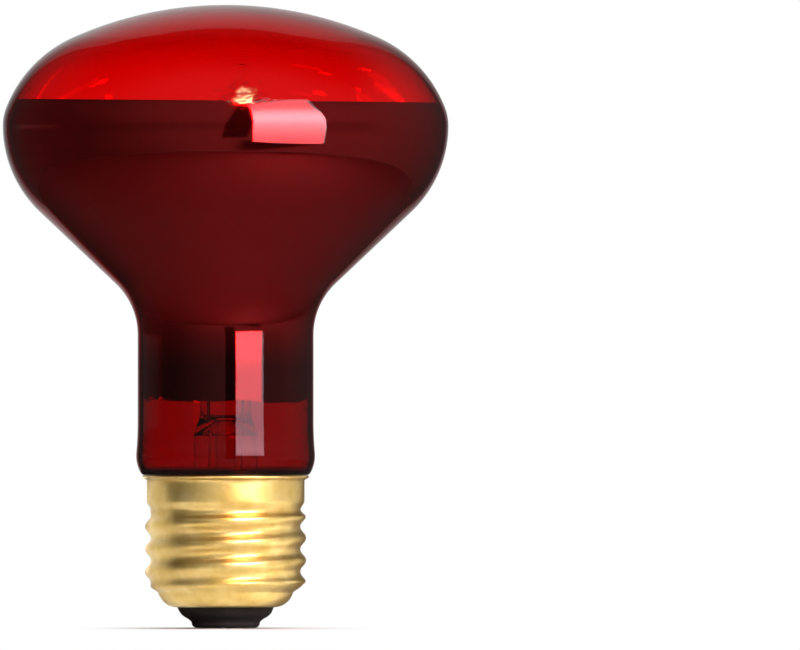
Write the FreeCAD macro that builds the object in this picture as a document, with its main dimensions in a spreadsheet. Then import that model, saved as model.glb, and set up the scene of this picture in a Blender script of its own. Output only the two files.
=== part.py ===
import FreeCAD, Part
import math
import os
import re
import Sketcher

# Infrared heat lamp bulb: a blown ruby glass reflector bulb on a medium screw base.
# Millimetres. +Z runs up the bulb's axis from the flat tip of the centre contact to the crown.
# The front of the bulb faces -Y, and the side wire is soldered at the back, +Y.

SIZES = {
    # glass envelope, outside
    "bulb_diameter": 72.0,
    "crown_height": 100.7,
    "dome_depth": 19.5,
    "dome_radius": 60.5,
    "shoulder_radius": 20.6,
    "belly_radius": 8.0,
    "bowl_radius": 19.2,
    "cone_half_angle": 46.6,
    "neck_blend_radius": 11.35,
    "neck_diameter": 28.4,
    "glass_wall": 0.9,
    # foot of the neck, where the glass swells above the cap's rim and steps in to a sleeve
    "foot_swell": 0.25,
    "foot_rise": 2.95,
    "foot_radius": 5.7,
    "foot_blend_radius": 60.0,
    "heel_radius": 0.8,
    "inner_ledge": 0.2,
    "seal_height": 15.5,
    # mirror coating inside the bowl
    "window_depth": 15.3,
    "mirror_bottom": 36.9,
    "mirror_thickness": 0.1,
    "mirror_gap": 0.05,
    # glass stem
    "stem_diameter": 10.3,
    "stem_wall": 0.9,
    "flare_height": 5.0,
    "press_width": 8.3,
    "press_depth": 3.4,
    "press_length": 3.4,
    "press_top": 38.0,
    "squash_length": 3.6,
    "bore_end_length": 2.2,
    "exhaust_hole_diameter": 1.6,
    "exhaust_hole_rise": 1.0,
    "exhaust_diameter": 3.8,
    "exhaust_wall": 0.5,
    "exhaust_tip": 10.6,
    "arbor_diameter": 3.0,
    "button_diameter": 5.2,
    "button_drop": 4.0,
    # wires
    "seal_wire_diameter": 0.5,
    "seal_wire_length": 5.6,
    "seal_wire_spacing": 5.2,
    "inner_lead_diameter": 0.6,
    "inner_lead_bend": 1.2,
    "lead_straight": 5.0,
    "lead_upright": 6.0,
    "lead_spread": 22.0,
    "lead_hook": 2.0,
    "outer_lead_diameter": 0.3,
    "outer_lead_bend": 0.6,
    "centre_lead_clearance": 1.0,
    "centre_lead_drop": 2.0,
    "centre_lead_end": 0.5,
    "side_lead_drop": 1.4,
    "side_lead_clearance": 0.035,
    "side_lead_reach": 0.3,
    "support_diameter": 0.3,
    "support_spacing": 5.0,
    "support_root_spacing": 1.2,
    "support_embed": 1.6,
    "support_upright": 1.0,
    "support_bend": 0.6,
    "support_tail": 0.2,
    "support_loop_gap": 0.05,
    # filament, drawn as the tube that its coil fills
    "filament_height": 64.0,
    "filament_length": 20.4,
    "coil_diameter": 1.34,
    "coil_wire": 0.24,
    # rolled brass screw shell
    "shell_wall": 0.3,
    "thread_diameter": 26.0,
    "thread_depth": 0.93,
    "thread_pitch": 3.629,
    "thread_crest_flat": 0.5,
    "thread_bevel_width": 0.4,
    "thread_bevel_drop": 0.21,
    "thread_flank_width": 0.6,
    "thread_foot_rise": 0.12,
    "thread_foot_width": 0.35,
    "thread_root_overlap": 0.4,
    "thread_crest_height": 14.64,
    "thread_turns_below": 3,
    "thread_turns": 5,
    "thread_top": 18.4,
    "thread_top_runout": 0.9,
    "thread_bottom": 7.3,
    "thread_bottom_runout": 0.5,
    "collar_bottom": 20.6,
    "collar_ease": 1.5,
    "lip_height": 24.6,
    "lip_edge": 0.3,
    "lip_flare": 0.7,
    "lip_flare_height": 0.5,
    "shoulder_step": 1.17,
    "shoulder_top": 5.85,
    "shoulder_round": 3.17,
    "mouth_diameter": 16.0,
    "mouth_height": 3.43,
    # cement between the sleeve and the collar
    "cement_thickness": 1.05,
    "cement_depth": 3.4,
    "cement_slot_width": 0.5,
    "cement_slot_depth": 0.4,
    "rim_gap": 0.35,
    # black glass insulator
    "insulator_diameter": 15.6,
    "insulator_round": 6.0,
    "step_diameter": 12.2,
    "step_height": 1.55,
    "boss_diameter": 11.0,
    "boss_round": 0.75,
    # centre contact and solders
    "contact_recess": 0.12,
    "contact_diameter": 6.4,
    "contact_thickness": 0.35,
    "eyelet_diameter": 2.6,
    "eyelet_wall": 0.3,
    "eyelet_length": 2.6,
    "tip_solder_diameter": 3.6,
    "tip_flat_diameter": 2.0,
    "tip_solder_depth": 1.2,
    "side_solder_radius": 1.0,
    "side_solder_drop": 0.7,
    "side_solder_sink": 0.15,
}

document = FreeCAD.newDocument("heat_lamp_bulb")


# Driving dimensions
def make_sheet():
    """Write each size into the sheet as a plain number with its name as alias."""
    sheet = document.addObject("Spreadsheet::Sheet", "Sizes")
    for row, (name, size) in enumerate(SIZES.items(), start=1):
        sheet.set(f"A{row}", name.replace("_", " "))
        sheet.set(f"B{row}", str(size))
        sheet.setAlias(f"B{row}", name)
    document.recompute()
    return sheet


sheet = make_sheet()


def bound(expression):
    """The expression with each size's name pointing at its cell."""
    def cell(word):
        return f"Sizes.{word[0]}" if word[0] in SIZES else word[0]

    return re.sub(r"[a-z][a-z_]+", cell, expression)


def value(expression):
    """The number that an expression of sizes has now."""
    found = sheet.evalExpression(bound(expression))
    return float(getattr(found, "Value", found))


def tie(thing, prop, expression):
    thing.setExpression(prop, bound(expression))


# Places worked out from the sizes, from the thread inward and from the lip upward
ROOT = "(thread_diameter / 2 - thread_depth)"
SLEEVE = f"({ROOT} - shell_wall - outer_lead_diameter - 2 * side_lead_clearance)"
COLLAR = f"({SLEEVE} + cement_thickness + shell_wall)"
LIP = f"({COLLAR} + lip_flare)"
SHOULDER = f"({ROOT} - shoulder_step)"
LEDGE = "(lip_height + rim_gap)"
FOOT = f"({LEDGE} + foot_rise)"
NECK = "(neck_diameter / 2)"
WIDEST = "(crown_height - dome_depth)"
BUTTON = "(filament_height - button_drop)"
SQUASH_FOOT = "(press_top - press_length - squash_length)"
SEAL_WIRE_FOOT = "(press_top - seal_wire_length)"
CEMENT_TOP = "(lip_height - lip_flare_height)"


# Sketches
def origin_plane(body, role):
    return next(feature for feature in body.Origin.OriginFeatures if feature.Role == role)


def plane_sketch(body, name, role="XZ_Plane"):
    """A sketch on one of the body's own origin planes: on XZ its x is the radius and its y the height."""
    sketch = body.newObject("Sketcher::SketchObject", name)
    sketch.AttachmentSupport = [(origin_plane(body, role), "")]
    sketch.MapMode = "FlatFace"
    return sketch


def dimension(sketch, kind, *where, size):
    """Add a dimension whose number comes from the sheet."""
    number = value(size)
    if kind == "Angle":
        number = math.radians(number)
    index = sketch.addConstraint(Sketcher.Constraint(kind, *where, number))
    tie(sketch, f".Constraints[{index}]", f"({size}) * 1 deg" if kind == "Angle" else size)


def place_point(sketch, geometry, end, radius, height):
    """Hold one end of a line or arc at a radius and height given by expressions."""
    if radius == "0":
        sketch.addConstraint(Sketcher.Constraint("PointOnObject", geometry, end, -2))
    else:
        dimension(sketch, "DistanceX", -1, 1, geometry, end, size=radius)
    dimension(sketch, "DistanceY", -1, 1, geometry, end, size=height)


def arc_through(start, finish, radius, bulge):
    """The arc between two points that bulges to the left (1) or right (-1) on the way."""
    chord = finish - start
    left = FreeCAD.Vector(-chord.y, chord.x, 0).normalize()
    reach = math.sqrt(max(radius**2 - chord.Length**2 / 4, 0))
    centre = (start + finish) / 2 - left * (reach * bulge)
    first, last = (finish, start) if bulge > 0 else (start, finish)
    angles = [math.atan2(point.y - centre.y, point.x - centre.x) for point in (first, last)]
    circle = Part.Circle(centre, FreeCAD.Vector(0, 0, 1), radius)
    return Part.ArcOfCircle(circle, angles[0], angles[1]), bulge > 0


def draw_profile(sketch, corners):
    """Draw a closed profile. A corner is (radius, height), or (radius, height, arc radius, bulge)
    where the side that leaves it is an arc."""
    points = [FreeCAD.Vector(value(corner[0]), value(corner[1]), 0) for corner in corners]
    ends = []
    for number, corner in enumerate(corners):
        start, finish = points[number], points[(number + 1) % len(points)]
        if len(corner) == 2:
            geometry = sketch.addGeometry(Part.LineSegment(start, finish), False)
            ends.append((geometry, 1, 2))
        else:
            arc, turned = arc_through(start, finish, value(corner[2]), corner[3])
            geometry = sketch.addGeometry(arc, False)
            ends.append((geometry, 2, 1) if turned else (geometry, 1, 2))
            dimension(sketch, "Radius", geometry, size=corner[2])
    for number, (geometry, first, last) in enumerate(ends):
        after = ends[(number + 1) % len(ends)]
        sketch.addConstraint(Sketcher.Constraint("Coincident", geometry, last, after[0], after[1]))
        place_point(sketch, geometry, first, corners[number][0], corners[number][1])


# Bodies
def new_body(label):
    body = document.addObject("PartDesign::Body", label)
    body.Label = label
    return body


def revolve(body, sketch, feature="PartDesign::Revolution"):
    """Turn a sketch a full circle about the bulb's axis, as material or as a cut."""
    turned = body.newObject(feature, "Turned")
    turned.Profile = (sketch, [""])
    turned.ReferenceAxis = (sketch, ["V_Axis"])
    turned.Angle = 360
    return turned


def turned_body(label, corners):
    body = new_body(label)
    sketch = plane_sketch(body, "Profile")
    draw_profile(sketch, corners)
    revolve(body, sketch)
    return body


# Glass outline
def outline_points(inset):
    """Centres, radii and angles of the bulb's outline, moved inward by inset, from the crown to the neck."""
    widest = value("bulb_diameter / 2") - inset
    dome = value("dome_radius") - inset
    shoulder = value("shoulder_radius") - inset
    belly = value("belly_radius") - inset
    bowl = value("bowl_radius") - inset
    blend = value("neck_blend_radius") + inset
    neck = value(NECK) - inset
    level = value(WIDEST)
    slope = math.radians(value("cone_half_angle"))
    dome_centre = FreeCAD.Vector(0, value("crown_height") - inset - dome, 0)
    belly_centre = FreeCAD.Vector(widest - belly, level, 0)
    # the shoulder's centre lies where it touches both the dome and the belly from inside
    gap = belly_centre - dome_centre
    far, near = dome - shoulder, shoulder - belly
    along = (far**2 - near**2 + gap.Length**2) / (2 * gap.Length)
    across = math.sqrt(far**2 - along**2)
    unit = FreeCAD.Vector(gap).normalize()
    side = FreeCAD.Vector(unit.y, -unit.x, 0)
    shoulder_centre = dome_centre + unit * along - side * across
    bowl_centre = FreeCAD.Vector(widest - bowl, level, 0)
    outward = FreeCAD.Vector(math.cos(slope), -math.sin(slope), 0)
    cone_top = bowl_centre + outward * bowl
    blend_x = neck + blend
    run = (cone_top.x - (blend_x - blend * outward.x)) / math.sin(slope)
    cone_foot = cone_top - FreeCAD.Vector(math.sin(slope), math.cos(slope), 0) * run
    blend_centre = cone_foot + outward * blend
    dome_turn = math.atan2(shoulder_centre.y - dome_centre.y, shoulder_centre.x)
    belly_turn = math.atan2(shoulder_centre.y - belly_centre.y, shoulder_centre.x - belly_centre.x) + math.pi
    return {
        "dome": (dome_centre, dome, dome_turn, math.pi / 2),
        "shoulder": (shoulder_centre, shoulder, belly_turn, dome_turn),
        "belly": (belly_centre, belly, 0, belly_turn),
        "bowl": (bowl_centre, bowl, -slope, 0),
        "cone": (cone_top, cone_foot),
        "blend": (blend_centre, blend, math.pi - slope, math.pi),
        "neck_x": neck,
        "neck_top": blend_centre.y,
    }


def draw_outline(sketch, inset, neck_end):
    """Draw the bulb's outline from crown to neck, moved inward by inset, as arcs and lines that run into
    each other. Returns the numbers of the dome arc and the neck line."""
    points = outline_points(value(inset))
    number = {}
    for name in ("dome", "shoulder", "belly", "bowl", "blend"):
        centre, radius, first, last = points[name]
        circle = Part.Circle(centre, FreeCAD.Vector(0, 0, 1), radius)
        number[name] = sketch.addGeometry(Part.ArcOfCircle(circle, first, last), False)
    number["cone"] = sketch.addGeometry(Part.LineSegment(*points["cone"]), False)
    neck_top = FreeCAD.Vector(points["neck_x"], points["neck_top"], 0)
    neck_foot = FreeCAD.Vector(points["neck_x"], neck_end, 0)
    number["neck"] = sketch.addGeometry(Part.LineSegment(neck_top, neck_foot), False)

    def joint(one, one_end, other, other_end):
        sketch.addConstraint(Sketcher.Constraint("Tangent", number[one], one_end, number[other], other_end))

    joint("dome", 1, "shoulder", 2)
    joint("shoulder", 1, "belly", 2)
    joint("belly", 1, "bowl", 2)
    joint("bowl", 1, "cone", 1)
    joint("cone", 2, "blend", 1)
    joint("blend", 2, "neck", 1)
    sketch.addConstraint(Sketcher.Constraint("PointOnObject", number["dome"], 3, -2))
    sketch.addConstraint(Sketcher.Constraint("PointOnObject", number["dome"], 2, -2))
    dimension(sketch, "DistanceY", -1, 1, number["dome"], 2, size=f"crown_height - ({inset})")
    dimension(sketch, "Radius", number["dome"], size=f"dome_radius - ({inset})")
    dimension(sketch, "Radius", number["shoulder"], size=f"shoulder_radius - ({inset})")
    dimension(sketch, "Radius", number["belly"], size=f"belly_radius - ({inset})")
    dimension(sketch, "Radius", number["bowl"], size=f"bowl_radius - ({inset})")
    dimension(sketch, "Radius", number["blend"], size=f"neck_blend_radius + ({inset})")
    dimension(sketch, "DistanceX", -1, 1, number["belly"], 1, size=f"bulb_diameter / 2 - ({inset})")
    dimension(sketch, "DistanceY", -1, 1, number["belly"], 1, size=WIDEST)
    dimension(sketch, "DistanceY", -1, 1, number["bowl"], 3, size=WIDEST)
    dimension(sketch, "Angle", -2, number["cone"], size="180 - cone_half_angle")
    dimension(sketch, "DistanceX", -1, 1, number["neck"], 2, size=f"{NECK} - ({inset})")
    sketch.addConstraint(Sketcher.Constraint("Vertical", number["neck"]))
    return number["dome"], number["neck"]


def corner_line(sketch, start, finish):
    return sketch.addGeometry(Part.LineSegment(FreeCAD.Vector(*start, 0), FreeCAD.Vector(*finish, 0)), False)


def join(sketch, one, one_end, other, other_end, kind="Coincident"):
    sketch.addConstraint(Sketcher.Constraint(kind, one, one_end, other, other_end))


def add_arc(sketch, centre, radius, first, last):
    circle = Part.Circle(FreeCAD.Vector(*centre, 0), FreeCAD.Vector(0, 0, 1), radius)
    return sketch.addGeometry(Part.ArcOfCircle(circle, first, last), False)


def draw_foot(sketch, neck):
    """Draw the neck's foot outside: it swells, turns under at the heel, and steps in to the sleeve.
    Returns the number of the sleeve's line, which ends at the seal."""
    swell, swell_radius = value(f"{NECK} + foot_swell"), value("foot_radius")
    blend_radius, heel = value("foot_blend_radius"), value("heel_radius")
    ledge, sleeve, seal = value(LEDGE), value(SLEEVE), value("seal_height")
    centre = (swell - swell_radius, value(FOOT))
    blend_x = value(NECK) + blend_radius
    blend_rise = math.sqrt((swell_radius + blend_radius) ** 2 - (blend_x - centre[0]) ** 2)
    blend_turn = math.asin(blend_rise / (swell_radius + blend_radius))
    heel_drop = centre[1] - ledge - heel
    heel_turn = math.asin(heel_drop / (swell_radius - heel))
    heel_x = centre[0] + (swell_radius - heel) * math.cos(heel_turn)
    blend = add_arc(sketch, (blend_x, centre[1] + blend_rise), blend_radius, math.pi, math.pi + blend_turn)
    foot = add_arc(sketch, centre, swell_radius, -heel_turn, blend_turn)
    turned = add_arc(sketch, (heel_x, ledge + heel), heel, -math.pi / 2, -heel_turn)
    under = corner_line(sketch, (heel_x, ledge), (sleeve, ledge))
    down = corner_line(sketch, (sleeve, ledge), (sleeve, seal))
    join(sketch, neck, 2, blend, 1, "Tangent")
    join(sketch, blend, 2, foot, 2, "Tangent")
    join(sketch, foot, 1, turned, 2, "Tangent")
    join(sketch, turned, 1, under, 1, "Tangent")
    join(sketch, under, 2, down, 1)
    sketch.addConstraint(Sketcher.Constraint("Horizontal", under))
    dimension(sketch, "Radius", blend, size="foot_blend_radius")
    dimension(sketch, "Radius", foot, size="foot_radius")
    dimension(sketch, "Radius", turned, size="heel_radius")
    dimension(sketch, "DistanceX", -1, 1, foot, 3, size=f"{NECK} + foot_swell - foot_radius")
    dimension(sketch, "DistanceY", -1, 1, foot, 3, size=FOOT)
    place_point(sketch, down, 1, SLEEVE, LEDGE)
    place_point(sketch, down, 2, SLEEVE, "seal_height")
    return down


def draw_inner_foot(sketch, neck):
    """Draw the foot inside: a rounded turn from the neck to the sleeve's bore. Returns the bore's line."""
    floor = value(f"{LEDGE} + glass_wall")
    heel = f"{NECK} - {SLEEVE} - inner_ledge"
    radius, side = value(heel), value(f"{NECK} - glass_wall")
    bore, seal = value(f"{SLEEVE} - glass_wall"), value("seal_height")
    turned = add_arc(sketch, (side - radius, floor + radius), radius, -math.pi / 2, 0)
    across = corner_line(sketch, (side - radius, floor), (bore, floor))
    down = corner_line(sketch, (bore, floor), (bore, seal))
    join(sketch, neck, 2, turned, 2, "Tangent")
    join(sketch, turned, 1, across, 1, "Tangent")
    join(sketch, across, 2, down, 1)
    sketch.addConstraint(Sketcher.Constraint("Horizontal", across))
    dimension(sketch, "Radius", turned, size=heel)
    place_point(sketch, down, 1, f"{SLEEVE} - glass_wall", f"{LEDGE} + glass_wall")
    place_point(sketch, down, 2, f"{SLEEVE} - glass_wall", "seal_height")
    return down


def make_glass_envelope():
    """The blown bulb: one shell of even wall from the crown to the end of the sleeve."""
    body = new_body("glass_envelope")
    sketch = plane_sketch(body, "Profile")
    crown, neck = draw_outline(sketch, "0", value(f"{FOOT} + foot_radius"))
    sleeve = draw_foot(sketch, neck)
    inner_crown, inner_neck = draw_outline(sketch, "glass_wall", value(FOOT))
    bore = draw_inner_foot(sketch, inner_neck)
    seal = value("seal_height")
    rim = corner_line(sketch, (value(SLEEVE), seal), (value(f"{SLEEVE} - glass_wall"), seal))
    join(sketch, sleeve, 2, rim, 1)
    join(sketch, rim, 2, bore, 2)
    pole = corner_line(sketch, (0, value("crown_height - glass_wall")), (0, value("crown_height")))
    join(sketch, pole, 1, inner_crown, 2)
    join(sketch, pole, 2, crown, 2)
    revolve(body, sketch)
    return body


def make_reflector_coating():
    """The bright metal film on the inside of the bowl, from just below the press to the window's edge."""
    body = new_body("reflector_coating")
    sketch = plane_sketch(body, "Profile")
    insets = ["glass_wall + mirror_gap", "glass_wall + mirror_gap + mirror_thickness"]
    foot = value("mirror_bottom")
    crown, neck = draw_outline(sketch, insets[0], foot)
    inner_crown, inner_neck = draw_outline(sketch, insets[1], foot)
    sides = [value(f"{NECK} - ({inset})") for inset in insets]
    edge = corner_line(sketch, (sides[0], foot), (sides[1], foot))
    join(sketch, neck, 2, edge, 1)
    join(sketch, edge, 2, inner_neck, 2)
    dimension(sketch, "DistanceY", -1, 1, edge, 1, size="mirror_bottom")
    sketch.addConstraint(Sketcher.Constraint("Horizontal", edge))
    crowns = [value(f"crown_height - ({inset})") for inset in insets]
    pole = corner_line(sketch, (0, crowns[1]), (0, crowns[0]))
    join(sketch, pole, 1, inner_crown, 2)
    join(sketch, pole, 2, crown, 2)
    revolve(body, sketch)
    window = plane_sketch(body, "Window")
    edge = "crown_height - window_depth"
    draw_profile(window, [("0", edge), ("bulb_diameter / 2", edge),
                          ("bulb_diameter / 2", "crown_height"), ("0", "crown_height")])
    revolve(body, window, "PartDesign::Groove")
    return body


# Solids that are joined or cut
def primitive(kind, name, at=("0", "0", "0"), turn=None, **sizes):
    """A Part primitive whose sizes and place come from the sheet. turn is (axis, degrees)."""
    solid = document.addObject(f"Part::{kind}", name)
    for prop, size in sizes.items():
        tie(solid, prop, size)
    if turn:
        rotation = FreeCAD.Rotation(FreeCAD.Vector(*turn[0]), turn[1])
        solid.Placement = FreeCAD.Placement(FreeCAD.Vector(), rotation)
    for letter, size in zip("xyz", at):
        tie(solid, f".Placement.Base.{letter}", size)
    return solid


def fused(name, solids):
    joined = document.addObject("Part::MultiFuse", name)
    joined.Shapes = solids
    return joined


def cut(name, base, tools):
    """The base with every tool taken out of it."""
    left = document.addObject("Part::Cut", name)
    left.Base = base
    left.Tool = tools[0] if len(tools) == 1 else fused(f"{name}_tools", tools)
    return left


# Stem
def make_seal_wires():
    """Short wires of a metal that seals to glass, one each side of the press."""
    wires = []
    for side, sign in (("left", "-"), ("right", "")):
        wires.append(primitive("Cylinder", f"seal_wire_{side}",
                               at=(f"{sign}seal_wire_spacing / 2", "0", SEAL_WIRE_FOOT),
                               Radius="seal_wire_diameter / 2", Height="seal_wire_length"))
    return wires


def make_stem_flare(seal_wires):
    """The flare tube, with its bell sealed to the sleeve's end and its top squashed flat on the wires."""
    bell = turned_body("flare_bell", [
        (SLEEVE, "seal_height - stem_wall"),
        (SLEEVE, "seal_height"),
        (f"{SLEEVE} - glass_wall", "seal_height"),
        ("stem_diameter / 2", "seal_height + flare_height"),
        ("stem_diameter / 2", SQUASH_FOOT),
        ("stem_diameter / 2 - stem_wall", SQUASH_FOOT),
        ("stem_diameter / 2 - stem_wall", "seal_height + flare_height - stem_wall"),
        (f"{SLEEVE} - glass_wall - stem_wall", "seal_height - stem_wall"),
    ])
    tube_end = primitive("Circle", "tube_end", at=("0", "0", SQUASH_FOOT), Radius="stem_diameter / 2")
    press_foot = primitive("Ellipse", "press_foot", at=("0", "0", "press_top - press_length"),
                           MajorRadius="press_width / 2", MinorRadius="press_depth / 2")
    squash = document.addObject("Part::Loft", "squash")
    squash.Sections = [tube_end, press_foot]
    squash.Solid = True
    press = document.addObject("Part::Extrusion", "press")
    press.Base = press_foot
    press.Dir = FreeCAD.Vector(0, 0, 1)
    press.Solid = True
    tie(press, "LengthFwd", "press_length")
    bore_end = primitive("Cone", "bore_end", at=("0", "0", SQUASH_FOOT), Height="bore_end_length",
                         Radius1="stem_diameter / 2 - stem_wall", Radius2="exhaust_diameter / 2")
    hole_place = ("0", "0", f"{SQUASH_FOOT} + exhaust_hole_rise")
    exhaust_hole = primitive("Cylinder", "exhaust_hole", at=hole_place, turn=((1, 0, 0), -90),
                             Radius="exhaust_hole_diameter / 2", Height="stem_diameter")
    glass = fused("stem_glass", [bell, squash, press])
    return cut("stem_flare", glass, [bore_end, exhaust_hole, *seal_wires])


def make_exhaust_tube():
    """The tube the bulb was pumped through, melted shut to a round tip inside the cap."""
    radius, bore = "exhaust_diameter / 2", "exhaust_diameter / 2 - exhaust_wall"
    top, turn = f"{SQUASH_FOOT} + bore_end_length", "exhaust_tip + exhaust_diameter / 2"
    return turned_body("exhaust_tube", [
        (radius, top),
        (radius, turn, radius, 1),
        ("0", "exhaust_tip"),
        ("0", "exhaust_tip + exhaust_wall", bore, -1),
        (bore, turn),
        (bore, top),
    ])


def make_stem_arbor(supports):
    """The glass rod on the press, ending in a round button that grips the filament's supports."""
    meet = f"{BUTTON} - sqrt((button_diameter / 2) ^ 2 - (arbor_diameter / 2) ^ 2)"
    rod = turned_body("arbor_rod", [
        ("0", "press_top"),
        ("arbor_diameter / 2", "press_top"),
        ("arbor_diameter / 2", meet, "button_diameter / 2", -1),
        ("0", f"{BUTTON} + button_diameter / 2"),
    ])
    return cut("stem_arbor", rod, supports)


# Wires
def bent_path(points, bends):
    """Straight runs through the points, with an arc of its own radius at each inner point."""
    edges = []
    start = points[0]
    for before, corner, after, bend in zip(points, points[1:], points[2:], bends):
        arriving, leaving = (corner - before).normalize(), (after - corner).normalize()
        turn = arriving.getAngle(leaving)
        setback = bend * math.tan(turn / 2)
        middle = (leaving - arriving).normalize() * (bend / math.cos(turn / 2) - bend)
        entry, leave = corner - arriving * setback, corner + leaving * setback
        if not entry.isEqual(start, 1e-6):
            edges.append(Part.LineSegment(start, entry).toShape())
        edges.append(Part.Arc(entry, corner + middle, leave).toShape())
        start = leave
    edges.append(Part.LineSegment(start, points[-1]).toShape())
    return Part.Wire(edges)


def bent_wire(label, diameter, points):
    """A round wire. Each point is three expressions, and where the wire bends a fourth, the bend's radius."""
    corners = [FreeCAD.Vector(*(value(size) for size in point[:3])) for point in points]
    bends = [value(point[3]) for point in points[1:-1]]
    section = Part.Wire(Part.makeCircle(value(diameter) / 2, corners[0], corners[1] - corners[0]))
    wire = document.addObject("Part::Feature", label)
    wire.Shape = bent_path(corners, bends).makePipeShell([section], True, False)
    return wire


def make_inner_leads():
    """The stiff leads that rise from the press, lean out and hook into the filament's ends."""
    leads = []
    for side, sign in (("left", "-"), ("right", "")):
        foot, head = f"{sign}seal_wire_spacing / 2", f"{sign}lead_spread / 2"
        leads.append(bent_wire(f"inner_lead_{side}", "inner_lead_diameter", [
            (foot, "0", "press_top"),
            (foot, "0", "press_top + lead_straight", "inner_lead_bend"),
            (head, "0", "filament_height - lead_upright", "inner_lead_bend"),
            (head, "0", "filament_height", "inner_lead_bend"),
            (f"{sign}(lead_spread / 2 - lead_hook)", "0", "filament_height"),
        ]))
    return leads


def make_centre_lead():
    """The wire from the right seal wire to the centre contact, under the exhaust tube's tip."""
    return bent_wire("centre_lead", "outer_lead_diameter", [
        ("seal_wire_spacing / 2", "0", SEAL_WIRE_FOOT),
        ("seal_wire_spacing / 2", "0", "exhaust_tip - centre_lead_clearance", "outer_lead_bend"),
        ("0", "0", "exhaust_tip - centre_lead_clearance - centre_lead_drop", "outer_lead_bend"),
        ("0", "0", "centre_lead_end"),
    ])


def make_side_lead():
    """The wire from the left seal wire, under the bell, up between sleeve and shell, and over the lip."""
    under = "seal_height - stem_wall - side_lead_drop"
    beside = f"{SLEEVE} + outer_lead_diameter / 2 + side_lead_clearance"
    outside = f"{LIP} + side_lead_reach"
    over = "lip_height + rim_gap / 2"
    return bent_wire("side_lead", "outer_lead_diameter", [
        ("-seal_wire_spacing / 2", "0", SEAL_WIRE_FOOT),
        ("-seal_wire_spacing / 2", "0", under, "outer_lead_bend"),
        ("0", beside, under, "outer_lead_bend"),
        ("0", beside, over, "outer_lead_bend"),
        ("0", outside, over),
    ])


def make_filament_supports():
    """Three wires fanned out from the button, each curled round the filament in an open eye."""
    supports = []
    eye = "(coil_diameter / 2 + support_loop_gap + support_diameter / 2)"
    for number, place in enumerate((-1, 0, 1), start=1):
        across = f"{place} * support_spacing"
        supports.append(bent_wire(f"filament_support_{number}", "support_diameter", [
            (f"{place} * support_root_spacing", "0", f"{BUTTON} + button_diameter / 2 - support_embed"),
            (across, f"-{eye}", "filament_height - support_upright", "support_bend"),
            (across, f"-{eye}", f"filament_height + {eye}", eye),
            (across, eye, f"filament_height + {eye}", eye),
            (across, eye, f"filament_height - {eye}", eye),
            (across, "-support_tail", f"filament_height - {eye}"),
        ]))
    return supports


def make_filament():
    along = ((0, 1, 0), 90)
    place = ("-filament_length / 2", "0", "filament_height")
    coil = primitive("Cylinder", "coil_outside", at=place, turn=along,
                     Radius="coil_diameter / 2", Height="filament_length")
    bore = primitive("Cylinder", "coil_bore", at=place, turn=along,
                     Radius="coil_diameter / 2 - coil_wire", Height="filament_length")
    return cut("filament", coil, [bore])


# Screw shell
def thread_section(name, inset):
    """The straight-sided section of one thread ridge, drawn in the XZ plane at the ridge's start."""
    sketch = document.addObject("Sketcher::SketchObject", name)
    sketch.Placement = FreeCAD.Placement(FreeCAD.Vector(), FreeCAD.Rotation(FreeCAD.Vector(1, 0, 0), 90))
    level = "thread_crest_height - thread_turns_below * thread_pitch"
    reach = "thread_crest_flat / 2"
    steps = [(f"thread_diameter / 2 - ({inset})", reach)]
    reach += " + thread_bevel_width"
    steps.append((f"thread_diameter / 2 - thread_bevel_drop - ({inset})", reach))
    reach += " + thread_flank_width"
    steps.append((f"{ROOT} + thread_foot_rise - ({inset})", reach))
    reach += " + thread_foot_width"
    steps.append((f"{ROOT} - thread_root_overlap - ({inset})", reach))
    upper = [(radius, f"{level} + {half}") for radius, half in steps]
    lower = [(radius, f"{level} - ({half})") for radius, half in reversed(steps)]
    draw_profile(sketch, upper + lower)
    return sketch


def thread_ridge(name, inset):
    """One ridge swept up the right-handed helix, its two ends dressed off by cones."""
    helix = document.addObject("Part::Helix", f"{name}_helix")
    tie(helix, "Pitch", "thread_pitch")
    tie(helix, "Height", "thread_pitch * thread_turns")
    tie(helix, "Radius", "thread_diameter / 2")
    tie(helix, ".Placement.Base.z", "thread_crest_height - thread_turns_below * thread_pitch")
    sweep = document.addObject("Part::Sweep", f"{name}_sweep")
    sweep.Sections = [thread_section(f"{name}_section", inset)]
    sweep.Spine = helix
    sweep.Solid = True
    sweep.Frenet = True
    inner = f"{ROOT} - thread_root_overlap - ({inset})"
    foot, over = f"{ROOT} - ({inset})", f"thread_diameter / 2 + thread_depth - ({inset})"
    envelope = turned_body(f"{name}_envelope", [
        (inner, "thread_bottom - thread_bottom_runout"),
        (foot, "thread_bottom - thread_bottom_runout"),
        (over, "thread_bottom + thread_bottom_runout"),
        (over, "thread_top - thread_top_runout"),
        (foot, "thread_top + thread_top_runout"),
        (inner, "thread_top + thread_top_runout"),
    ])
    ridge = document.addObject("Part::Common", name)
    ridge.Base = sweep
    ridge.Tool = envelope
    return ridge


def shell_form(name, inset, ends):
    """The shell's rolled form, filled to the axis: the outer skin, or with the wall as inset the inner one.
    ends are the corners that close it below the mouth and above the lip."""
    below, above = ends
    core = turned_body(f"{name}_core", below + [
        ("mouth_diameter / 2", f"mouth_height + ({inset})", f"shoulder_round - ({inset})", -1),
        (f"{SHOULDER} - ({inset})", "shoulder_top"),
        (f"{ROOT} - ({inset})", "thread_bottom - thread_bottom_runout"),
        (f"{ROOT} - ({inset})", "collar_bottom - collar_ease"),
        (f"{COLLAR} - ({inset})", "collar_bottom"),
    ] + above)
    return fused(name, [core, thread_ridge(f"{name}_ridge", inset)])


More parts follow.
